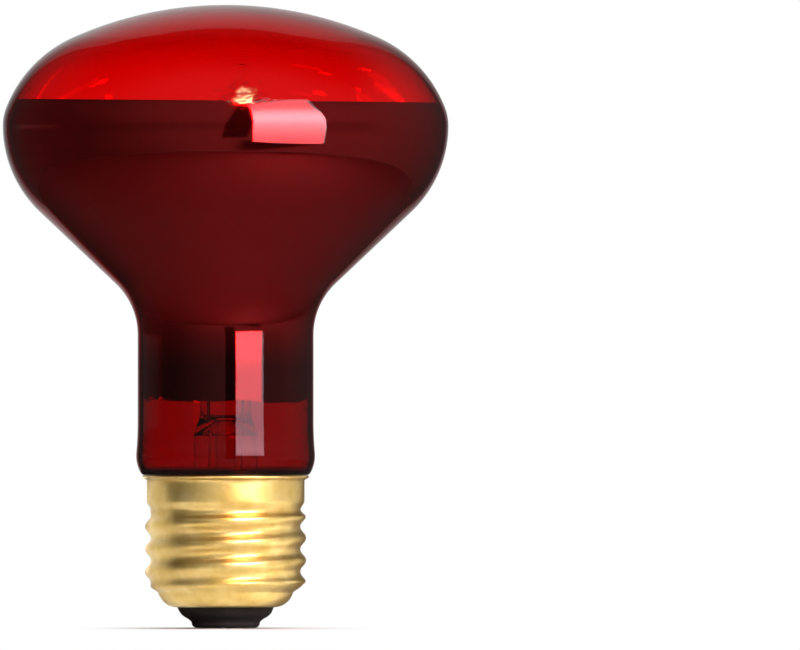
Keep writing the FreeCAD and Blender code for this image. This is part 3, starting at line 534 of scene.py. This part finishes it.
def shell_line(inset, step):
    """One face of the shell's wall, from below the lip to the mouth, before its thread is rolled."""
    points = run_down(COLLAR_RADIUS - inset, LIP_HEIGHT - LIP_BELL, COLLAR_BOTTOM, 0.5)
    run = COLLAR_BOTTOM - THREAD_BOTTOM + THREAD_OVER
    count = math.ceil(run / step)
    for number in range(1, count + 1):
        height = COLLAR_BOTTOM - run * number / count
        narrow = eased((COLLAR_BOTTOM - height) / COLLAR_NECKING)
        points.append((COLLAR_RADIUS - inset - (COLLAR_RADIUS - THREAD_ROOT) * narrow, height))
    foot = THREAD_BOTTOM - THREAD_OVER
    for number in range(1, SHOULDER_STEPS + 1):
        narrow = eased(number / SHOULDER_STEPS * SHOULDER_EASE)
        points.append((THREAD_ROOT - inset - (THREAD_ROOT - SHOULDER_REACH) * narrow / eased(SHOULDER_EASE),
                       foot - (foot - SHOULDER_TOP) * number / SHOULDER_STEPS))
    return points + shoulder_arc(inset)[1:]


def shell_profile():
    """Up the inside from the mouth, over the belled lip, and down the outside."""
    lip_inside, lip_outside = [(COLLAR_RADIUS - SHELL_WALL, LIP_HEIGHT - LIP_BELL)], []
    for number in range(LIP_STEPS + 1):
        out = COLLAR_RADIUS + LIP_FLARE * eased(number / LIP_STEPS)
        lip_inside.append((out - SHELL_WALL, LIP_HEIGHT - LIP_BELL + 0.1 + 0.6 * number / LIP_STEPS))
        lip_outside.insert(0, (out, LIP_HEIGHT - LIP_BELL + 0.5 * number / LIP_STEPS))
    edge = arc((LIP_RADIUS - SHELL_WALL / 2, LIP_HEIGHT - SHELL_WALL / 2), SHELL_WALL / 2, 180, 0, 0.06)
    inside = shell_line(SHELL_WALL, 0.3)
    return inside[::-1] + lip_inside + edge + lip_outside + shell_line(0, 0.1)


# Brass sheet, 70 parts copper to 30 zinc, has a satin gold face, with fine lines round the shell where it was
# rolled and a tone that varies a little from place to place.
def rolled_brass():
    material, tree, shader = new_material("rolled_brass")
    shader.inputs["Metallic"].default_value = 1.0
    place = add_node(tree, "TexCoord")
    # lines left by the rolls, about 0.15 mm apart
    around = add_node(tree, "Mapping", {"Vector": place.outputs["Object"]}, Scale=(0.04, 0.04, 1))
    lines = add_node(tree, "TexNoise", {"Vector": around.outputs["Vector"]}, Scale=spaced(2 / 13), Detail=2.0)
    blots = add_node(tree, "TexNoise", {"Vector": place.outputs["Object"]}, Scale=spaced(20 / 7), Detail=4.0)
    tone = add_node(tree, "ValToRGB", {"Fac": blots.outputs["Fac"]})
    tone.color_ramp.elements[0].position = 0.3
    tone.color_ramp.elements[0].color = linear("DDB65E")
    tone.color_ramp.elements[1].position = 0.75
    tone.color_ramp.elements[1].color = linear("F3D68E")
    satin = add_node(tree, "MapRange", {"Value": lines.outputs["Fac"]}, To_Min=0.24, To_Max=0.40)
    bump = add_node(tree, "Bump", {"Height": lines.outputs["Fac"]}, Strength=0.25, Distance=0.03 * MM)
    tree.links.new(tone.outputs["Color"], shader.inputs["Base Color"])
    tree.links.new(satin.outputs["Result"], shader.inputs["Roughness"])
    tree.links.new(bump.outputs["Normal"], shader.inputs["Normal"])
    return material


brass = rolled_brass()
shell = turned("brass_shell", shell_profile(), around=240, closed=True, swell=thread)
dress(shell, brass, "shell_brass", "screw_shell")


# The capping cement: a paste of marble flour and resin, laid in a ring inside the collar before the glass
# goes in, and baked until it grips both.
# Baked cement is matt and grainy, in a stony cream.
def baked_cement():
    material, tree, shader = new_material("capping_cement")
    shader.inputs["Roughness"].default_value = 0.9
    place = add_node(tree, "TexCoord")
    grit = add_node(tree, "TexNoise", {"Vector": place.outputs["Object"]}, Scale=spaced(0.4), Detail=4.0)
    tone = add_node(tree, "ValToRGB", {"Fac": grit.outputs["Fac"]})
    tone.color_ramp.elements[0].color = linear("A89878")
    tone.color_ramp.elements[1].color = linear("D8CCB0")
    bump = add_node(tree, "Bump", {"Height": grit.outputs["Fac"]}, Strength=0.5, Distance=0.1 * MM)
    tree.links.new(tone.outputs["Color"], shader.inputs["Base Color"])
    tree.links.new(bump.outputs["Normal"], shader.inputs["Normal"])
    return material


dress(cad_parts["capping_cement"], baked_cement(), "cement")


# The insulator: black glass poured hot into the shell's mouth and pressed, so it grips the brass and comes
# out as a cone with a round boss. The eyelet of the end contact is set in it.
INSULATOR_RADIUS = 7.8
STEP_RADIUS = 6.1
STEP_HEIGHT = 1.55
BOSS_RADIUS = 5.5
BOSS_ROUND = 0.75
BOSS_FOOT = 0.12
CONE_STEPS = 12
CONE_BULGE = 0.22
CONTACT_RADIUS = 3.2
CONTACT_THICKNESS = 0.35
EYELET_RADIUS = 1.3


def insulator_profile():
    """Down from inside the shoulder, over the cone and the boss, and in to the eyelet's seat."""
    top = [(EYELET_RADIUS, SHOULDER_TOP)]
    side = shoulder_arc(SHELL_WALL) + [(MOUTH_RADIUS, MOUTH_HEIGHT), (INSULATOR_RADIUS, MOUTH_HEIGHT)]
    cone = []
    for number in range(1, CONE_STEPS + 1):
        share = number / CONE_STEPS
        bulge = CONE_BULGE * math.sin(math.pi * share)
        cone.append((INSULATOR_RADIUS + (STEP_RADIUS - INSULATOR_RADIUS) * share + bulge,
                     MOUTH_HEIGHT + (STEP_HEIGHT - MOUTH_HEIGHT) * share - bulge))
    boss = [(BOSS_RADIUS + 0.1, BOSS_FOOT + BOSS_ROUND + 0.25)]
    boss += arc((BOSS_RADIUS - BOSS_ROUND, BOSS_FOOT + BOSS_ROUND), BOSS_ROUND, 0, -90, 0.12)
    seat = [(CONTACT_RADIUS, BOSS_FOOT), (CONTACT_RADIUS, BOSS_FOOT + CONTACT_THICKNESS),
            (EYELET_RADIUS, BOSS_FOOT + CONTACT_THICKNESS)]
    return top + side + cone + boss + seat


def uneven(angle, radius, height):
    """Pressed glass never comes out quite round."""
    # against the brass and the eyelet it is as true as they are
    if height > STEP_HEIGHT + 1.2 or radius < CONTACT_RADIUS + 0.5:
        return radius, height
    return radius * (1 + 0.006 * math.sin(3 * angle + 1) + 0.004 * math.sin(7 * angle)), height


# Manganese-black glass is opaque, with a fire-polished face dulled by handling and a few fine pits.
def black_glass():
    material, tree, shader = new_material("black_insulator_glass")
    shader.inputs["IOR"].default_value = 1.52
    place = add_node(tree, "TexCoord")
    cloud = add_node(tree, "TexNoise", {"Vector": place.outputs["Object"]}, Scale=spaced(2.5), Detail=4.0)
    tone = add_node(tree, "ValToRGB", {"Fac": cloud.outputs["Fac"]})
    tone.color_ramp.elements[0].color = linear("2C2A28")
    tone.color_ramp.elements[1].color = linear("4A4743")
    dull = add_node(tree, "MapRange", {"Value": cloud.outputs["Fac"]}, To_Min=0.2, To_Max=0.5)
    pits = add_node(tree, "TexNoise", {"Vector": place.outputs["Object"]}, Scale=spaced(5 / 9), Detail=2.0)
    bump = add_node(tree, "Bump", {"Height": pits.outputs["Fac"]}, Strength=0.3, Distance=0.06 * MM)
    tree.links.new(tone.outputs["Color"], shader.inputs["Base Color"])
    tree.links.new(dull.outputs["Result"], shader.inputs["Roughness"])
    tree.links.new(bump.outputs["Normal"], shader.inputs["Normal"])
    return material


insulator = turned("insulator_glass", insulator_profile(), around=128, closed=True, swell=uneven)
dress(insulator, black_glass(), "black_glass", "base_insulator")


# The end contact: an eyelet stamped from the same brass sheet, with a rolled edge. It is set in the hot
# glass of the insulator, and the centre wire comes down through it.
EYELET_BORE = 1.0
EYELET_TOP = 2.72
EYELET_EDGE = 0.15
contact_profile = [(EYELET_BORE, EYELET_TOP), (EYELET_BORE, BOSS_FOOT), (CONTACT_RADIUS - EYELET_EDGE, BOSS_FOOT)]
contact_profile += arc((CONTACT_RADIUS - EYELET_EDGE, BOSS_FOOT + EYELET_EDGE), EYELET_EDGE, -90, 0, 0.05)[1:]
contact_profile += [(CONTACT_RADIUS, BOSS_FOOT + CONTACT_THICKNESS), (EYELET_RADIUS, BOSS_FOOT + CONTACT_THICKNESS),
                    (EYELET_RADIUS, EYELET_TOP)]
contact = turned("contact_eyelet", contact_profile[::-1], around=96, closed=True)
dress(contact, brass, "contact_brass", "centre_contact")


# The solder: tin and lead, melted on with an iron. A drop closes the eyelet round the centre wire and is
# flat where the holder's spring presses, and a bead at the back joins the side wire to the cap's lip.
TIP_FLAT = 1.0
TIP_RADIUS = 1.8
TIP_DEPTH = 1.2
BEAD_RADIUS = 1.0
BEAD_REACH = 13.3
BEAD_HEIGHT = 23.9
BEAD_RUN = 1.25
BEAD_ROWS = 24
BEAD_COLUMNS = 32


def run_solder(angle, radius, height):
    """Solder spreads unevenly where it wets the brass."""
    # its flat and what stands in the eyelet keep their shape
    if radius < TIP_FLAT + 0.1 or height > BOSS_FOOT + 0.01:
        return radius, height
    return radius * (1 + 0.05 * math.sin(3 * angle + 0.7) + 0.03 * math.sin(8 * angle)), height


# Soft solder, tin and lead, sets bright and then dulls to grey, with a frosted, rippled skin.
def soft_solder():
    material, tree, shader = new_material("soft_solder")
    shader.inputs["Metallic"].default_value = 1.0
    place = add_node(tree, "TexCoord")
    frost = add_node(tree, "TexNoise", {"Vector": place.outputs["Object"]}, Scale=spaced(5 / 7), Detail=4.0)
    tone = add_node(tree, "ValToRGB", {"Fac": frost.outputs["Fac"]})
    tone.color_ramp.elements[0].color = linear("8E9092")
    tone.color_ramp.elements[1].color = linear("C6C8C9")
    dull = add_node(tree, "MapRange", {"Value": frost.outputs["Fac"]}, To_Min=0.25, To_Max=0.55)
    bump = add_node(tree, "Bump", {"Height": frost.outputs["Fac"]}, Strength=0.5, Distance=0.1 * MM)
    tree.links.new(tone.outputs["Color"], shader.inputs["Base Color"])
    tree.links.new(dull.outputs["Result"], shader.inputs["Roughness"])
    tree.links.new(bump.outputs["Normal"], shader.inputs["Normal"])
    return material


solder = soft_solder()
tip_profile = [(0.0, TIP_DEPTH), (EYELET_BORE, TIP_DEPTH), (EYELET_BORE, BOSS_FOOT), (TIP_RADIUS, BOSS_FOOT)]
tip_profile += [(TIP_RADIUS - 0.35, 0.05), (TIP_FLAT, 0.0), (0.0, 0.0)]
tip = turned("tip_solder_drop", tip_profile, around=64, swell=run_solder)
dress(tip, solder, "solder", "tip_solder")


def bead_mesh():
    """An uneven drop on the back of the lip that has run a little way down the collar."""
    vertices, faces = [], []
    for row in range(BEAD_ROWS + 1):
        lean = math.pi * row / BEAD_ROWS
        for column in range(BEAD_COLUMNS):
            angle = 2 * math.pi * column / BEAD_COLUMNS
            size = BEAD_RADIUS * (1 + 0.07 * math.sin(2 * angle + 3 * lean) + 0.05 * math.sin(5 * angle + lean))
            run = 1.0 if math.cos(lean) > 0 else BEAD_RUN
            vertices.append((0.95 * size * math.sin(lean) * math.cos(angle) * MM,
                             (BEAD_REACH + 0.9 * size * math.sin(lean) * math.sin(angle)) * MM,
                             (BEAD_HEIGHT + 0.9 * size * run * math.cos(lean)) * MM))
    for row in range(BEAD_ROWS):
        for column in range(BEAD_COLUMNS):
            after = (column + 1) % BEAD_COLUMNS
            start, finish = row * BEAD_COLUMNS, (row + 1) * BEAD_COLUMNS
            faces.append([start + column, finish + column, finish + after, start + after])
    return vertices, faces


bead = smooth_piece("side_solder_bead", *bead_mesh(), crease=80)
dress(bead, solder, "solder", "side_solder")


# The stage: a pale floor under the tip, and a room that is white all round to the eye and through clear
# glass. What the glass, the film and the brass reflect is that room as it is lit: dim, with a white board
# behind the bulb and a dark stand beside the lamp.
FLOOR_RADIUS = 190
FLOOR_SIDES = 96
FLOOR_SEEN = "EDEDED"
FLOOR_REFLECTED = "6F6F6F"
FLOOR_SHADE_REACH = 6
FLOOR_WHITE_REACH = 26
GLASS_FACES = 5.5  # the wall of the bulb has two faces, and the stem behind it four


def sees_backdrop(tree):
    """One for a ray from the camera, and for one that went only through glass on its way, or through both
    walls of the stem, whose edges would look black otherwise. None for any other ray."""
    path = add_node(tree, "LightPath")
    straight = add_node(tree, "Math", {0: path.outputs["Glossy Depth"], 1: 0.5}, operation="LESS_THAN")
    deep = add_node(tree, "Math", {0: path.outputs["Transmission Depth"], 1: GLASS_FACES}, operation="GREATER_THAN")
    clear = add_node(tree, "Math", {0: straight, 1: deep}, operation="MAXIMUM")
    through = add_node(tree, "Math", {0: path.outputs["Is Transmission Ray"], 1: clear}, operation="MULTIPLY")
    return add_node(tree, "Math", {0: path.outputs["Is Camera Ray"], 1: through}, operation="MAXIMUM")


# White paper is quite matt. Round the tip it keeps the bulb's shadow, and further out it fades to white.
def white_paper():
    material, tree, shader = new_material("white_paper")
    shader.inputs["Roughness"].default_value = 1.0
    shader.inputs["Specular IOR Level"].default_value = 0.0
    seen = sees_backdrop(tree)
    tone = add_node(tree, "MixRGB", {"Fac": seen}, Color1=linear(FLOOR_REFLECTED), Color2=linear(FLOOR_SEEN))
    tree.links.new(tone.outputs["Color"], shader.inputs["Base Color"])
    place = add_node(tree, "NewGeometry")
    away = add_node(tree, "VectorMath", {0: place.outputs["Position"]}, operation="LENGTH")
    far = add_node(tree, "MapRange", {"Value": away.outputs["Value"]}, interpolation_type="SMOOTHSTEP",
                   From_Min=FLOOR_SHADE_REACH * MM, From_Max=FLOOR_WHITE_REACH * MM)
    white = add_node(tree, "Emission", Strength=1.0)
    share = add_node(tree, "Math", {0: far, 1: seen}, operation="MULTIPLY")
    face = add_node(tree, "MixShader", {0: share, 1: shader, 2: white})
    # from below the paper would hide the cap, so the eye sees through its underside
    under = add_node(tree, "Math", {0: place.outputs["Backfacing"], 1: seen}, operation="MULTIPLY")
    sheet = add_node(tree, "MixShader", {0: under, 1: face, 2: add_node(tree, "BsdfTransparent")})
    tree.links.new(sheet.outputs[0], tree.nodes["Material Output"].inputs["Surface"])
    return material


floor_rim = [2 * math.pi * number / FLOOR_SIDES for number in range(FLOOR_SIDES)]
floor_mesh = bpy.data.meshes.new("floor")
floor_mesh.from_pydata([(FLOOR_RADIUS * MM * math.cos(a), FLOOR_RADIUS * MM * math.sin(a), 0) for a in floor_rim],
                       [], [list(range(FLOOR_SIDES))])
floor_mesh.materials.append(white_paper())
floor = bpy.data.objects.new("floor", floor_mesh)
bpy.context.scene.collection.objects.link(floor)

# The room, by the way a ray goes. A side of a patch says where the patch begins, where it is full and, if
# it ends both ways, where its middle is. Sides that are across or above are on a wall one unit away.
LAMP_SIDE = (0.6, -0.72, 0.35)
LAMP_SIDE_RANGE = (-0.7, 1.0)
ROOM_GLOW = (0.035, 0.17)
DARK_TOP_UP = (0.45, 0.85)
DARK_TOP_BACK = (-0.5, 0.2)
DIM_BAND_UP = (0.16, 0.04, 0.0)
DIM_BAND_BACK = (0.1, -0.3)
DIM_BAND_DEPTH = 0.25
FLAG_LEAN = -0.14
FLAG_ACROSS = (0.125, 0.11, 0.115)
FLAG_ABOVE = (0.68, 0.62, 0.42)
PLINTH_ACROSS = (0.60, 0.40, 0.62)
PLINTH_ABOVE = (0.13, 0.07, -0.38)
STAND_DEPTH = 0.85
BOARD_ACROSS = (0.37, 0.34, -0.04)
BOARD_ABOVE = (0.90, 0.85)
BOARD_BRIGHT_ACROSS = (0.34, 0.0, -0.04)
BOARD_BRIGHT_ABOVE = (1.0005, 0.1, 0.0)
BOARD_GLOW = 0.42
BOARD_EDGE_GLOW = 0.10
WALL_BEARING = (0.42, 0.30, 2.07)
WALL_UP = (0.03, 0.01, 0.0)
WALL_GLOW = 0.04


def patch(tree, *sides):
    """How far inside a soft-edged patch of the room a ray ends. Each side is its measure and its limits."""
    share = None
    for measure, (begins, full, *middle) in sides:
        if middle:
            measure = add_node(tree, "Math", {0: measure, 1: middle[0]}, operation="SUBTRACT")
            measure = add_node(tree, "Math", {0: measure}, operation="ABSOLUTE")
        side = add_node(tree, "MapRange", {"Value": measure}, interpolation_type="SMOOTHSTEP", From_Min=begins,
                        From_Max=full)
        share = side if share is None else add_node(tree, "Math", {0: share, 1: side}, operation="MULTIPLY")
    return share


def on_wall(tree, depth, right, up):
    """Where a ray meets an upright wall one unit away: how far across it, and how far above the level."""
    ahead = add_node(tree, "Math", {0: depth, 1: 0.001}, operation="MAXIMUM")
    return [add_node(tree, "Math", {0: way, 1: ahead}, operation="DIVIDE") for way in (right, up)]


def shaded(tree, light, share):
    """A light that is taken away by a share."""
    left = add_node(tree, "Math", {0: 1.0, 1: share}, operation="SUBTRACT")
    return add_node(tree, "Math", {0: light, 1: left}, operation="MULTIPLY")


def light_room():
    """The world: white to the eye, and the dim room to anything that reflects it or is lit by it."""
    world = bpy.data.worlds.new("studio")
    bpy.context.scene.world = world
    world.use_nodes = True
    tree = world.node_tree
    way = add_node(tree, "TexCoord").outputs["Generated"]
    right, back, up = add_node(tree, "SeparateXYZ", {"Vector": way}).outputs
    front = add_node(tree, "Math", {0: back, 1: -1.0}, operation="MULTIPLY")
    # the walls are lightest towards the lamp
    lamp_side = add_node(tree, "VectorMath", {0: way, 1: LAMP_SIDE}, operation="DOT_PRODUCT")
    room = add_node(tree, "MapRange", {"Value": lamp_side.outputs["Value"]}, interpolation_type="SMOOTHSTEP",
                    From_Min=LAMP_SIDE_RANGE[0], From_Max=LAMP_SIDE_RANGE[1], To_Min=ROOM_GLOW[0],
                    To_Max=ROOM_GLOW[1])
    # straight up at the back the room is darker still, and so it is level with the bulb at the front
    dark_top = patch(tree, (up, DARK_TOP_UP), (back, DARK_TOP_BACK))
    dim_band = patch(tree, (up, DIM_BAND_UP), (back, DIM_BAND_BACK))
    dim_band = add_node(tree, "Math", {0: dim_band, 1: DIM_BAND_DEPTH}, operation="MULTIPLY")
    room = shaded(tree, room, add_node(tree, "Math", {0: dark_top, 1: dim_band}, operation="MAXIMUM"))
    # the lamp's stand leaves a dark gap: a leaning flag at the lamp's left, and a plinth under it
    across, above = on_wall(tree, front, right, up)
    leaning = add_node(tree, "Math", {0: above, 1: FLAG_LEAN, 2: across}, operation="MULTIPLY_ADD")
    flag = patch(tree, (leaning, FLAG_ACROSS), (above, FLAG_ABOVE))
    plinth = patch(tree, (across, PLINTH_ACROSS), (above, PLINTH_ABOVE))
    stand = add_node(tree, "Math", {0: flag, 1: plinth}, operation="MAXIMUM")
    room = shaded(tree, room, add_node(tree, "Math", {0: stand, 1: STAND_DEPTH}, operation="MULTIPLY"))
    # the white board behind the bulb is brightest in its middle
    across, above = on_wall(tree, back, right, up)
    bright = patch(tree, (across, BOARD_BRIGHT_ACROSS), (above, BOARD_BRIGHT_ABOVE))
    glow = add_node(tree, "Math", {0: bright, 1: BOARD_GLOW, 2: BOARD_EDGE_GLOW}, operation="MULTIPLY_ADD")
    board = patch(tree, (across, BOARD_ACROSS), (above, BOARD_ABOVE))
    room = add_node(tree, "Math", {0: board, 1: glow, 2: room}, operation="MULTIPLY_ADD")
    # a low pale wall at the left shows only in the upright side of the neck
    left = add_node(tree, "Math", {0: right, 1: -1.0}, operation="MULTIPLY")
    bearing = add_node(tree, "Math", {0: left, 1: front}, operation="ARCTAN2")
    wall = patch(tree, (bearing, WALL_BEARING), (up, WALL_UP))
    room = add_node(tree, "Math", {0: wall, 1: WALL_GLOW, 2: room}, operation="MULTIPLY_ADD")
    shown = add_node(tree, "Math", {0: room, 1: sees_backdrop(tree)}, operation="MAXIMUM")
    tree.links.new(shown.outputs[0], tree.nodes["Background"].inputs["Color"])


light_room()


# The lamps: a large softbox at the front right, brightest along its middle, and a small bare lamp above it.
# They light the bulb, and show in it as a pink pane on the bowl, a strip on the neck and a warm spark.
BAND_MIDDLE = 0.44
BAND_REACH = 0.42


def lamp(name, azimuth, elevation, distance, width, height, glow, target, color, middle=None, shape="RECTANGLE"):
    """A soft face of light that looks at the axis at the height target. Azimuth runs from the front to the
    right. Glow is how bright the face is, and middle, where it is given, how bright it is along its middle."""
    light = bpy.data.lights.new(name, "AREA")
    light.shape = shape
    light.size, light.size_y = width, height
    light.energy = glow * math.pi * width * height
    light.color = linear(color)[:3]
    light.use_nodes = True
    tree = light.node_tree
    # seen straight through clear glass the lamp would show its shape, so there it gives way to the white
    strength = shaded(tree, 1.0, sees_backdrop(tree))
    if middle:
        face = add_node(tree, "NewGeometry")
        along = add_node(tree, "SeparateXYZ", {"Vector": face.outputs["Parametric"]})
        off = add_node(tree, "Math", {0: along.outputs[1], 1: BAND_MIDDLE}, operation="SUBTRACT")
        off = add_node(tree, "Math", {0: off}, operation="ABSOLUTE")
        band = add_node(tree, "MapRange", {"Value": off}, interpolation_type="SMOOTHSTEP", From_Min=BAND_REACH,
                        From_Max=0.0, To_Min=1.0, To_Max=middle / glow)
        strength = add_node(tree, "Math", {0: strength, 1: band}, operation="MULTIPLY")
    tree.links.new(strength.outputs[0], tree.nodes["Emission"].inputs["Strength"])
    holder = bpy.data.objects.new(name, light)
    bpy.context.scene.collection.objects.link(holder)
    side, rise = math.radians(azimuth), math.radians(elevation)
    holder.location = (distance * math.cos(rise) * math.sin(side), -distance * math.cos(rise) * math.cos(side),
                       target + distance * math.sin(rise))
    holder.rotation_euler = (math.pi / 2 - rise, 0, side)


lamp("key_softbox", 31, 0, 0.187, 0.122, 0.218, 3.5, target=0.139, color="FFE4F2", middle=13.5)
lamp("bare_lamp", 10.5, 43, 0.25, 0.036, 0.014, 60.0, target=0.085, color="FFF4B4", shape="ELLIPSE")

# Soft suns for the cap alone, which would otherwise stand in the bowl's shade: from above, from below as
# white paper throws it, weakly from the front, and from both sides. Only the brass and the solder take
# light from them. Each has its azimuth, elevation, spread and strength.
CAP_FILLS = {
    "cap_fill_above": (0, 62, 95, 0.45),
    "cap_fill_below": (20, -62, 140, 2.3),
    "cap_fill_front": (-20, -10, 125, 0.33),
    "cap_fill_left": (-142, 0, 100, 1.35),
    "cap_fill_right": (85, 0, 110, 1.5),
}
cap_pieces = bpy.data.collections.new("cap_pieces")
for piece in (shell, contact, tip, bead):
    cap_pieces.objects.link(piece)
shading_pieces = bpy.data.collections.new("shading_pieces")
for piece in (shell, insulator, contact, tip, bead, envelope, film):
    shading_pieces.objects.link(piece)
for name, (azimuth, elevation, spread, strength) in CAP_FILLS.items():
    sun = bpy.data.lights.new(name, "SUN")
    sun.angle = math.radians(spread)
    sun.energy = strength
    # sampled both ways, a linked sun loses the share of its light that other pieces stand in
    sun.cycles.use_multiple_importance_sampling = False
    cap_fill = bpy.data.objects.new(name, sun)
    cap_fill.rotation_euler = (math.radians(90 - elevation), 0, math.radians(azimuth))
    bpy.context.scene.collection.objects.link(cap_fill)
    cap_fill.light_linking.receiver_collection = cap_pieces
    cap_fill.light_linking.blocker_collection = shading_pieces


# The camera looks level from the front through a long lens, so hardly anything narrows with distance. Its
# frame is as wide as the photograph's, and the bulb stands left of the middle as it does there.
FRAME_WIDTH = 0.1292
FRAME_CENTRE_HEIGHT = 0.0490
AXIS_SHIFT = 0.218
CAMERA_DISTANCE = 5.0
SENSOR = 36.0
lens = bpy.data.cameras.new("camera")
lens.sensor_width = SENSOR
lens.lens = SENSOR * CAMERA_DISTANCE / FRAME_WIDTH
lens.shift_x = AXIS_SHIFT
camera = bpy.data.objects.new("camera", lens)
camera.location = (0, -CAMERA_DISTANCE, FRAME_CENTRE_HEIGHT)
camera.rotation_euler = (math.pi / 2, 0, 0)
bpy.context.scene.collection.objects.link(camera)
bpy.context.scene.camera = camera
bpy.context.scene.view_settings.view_transform = "Standard"
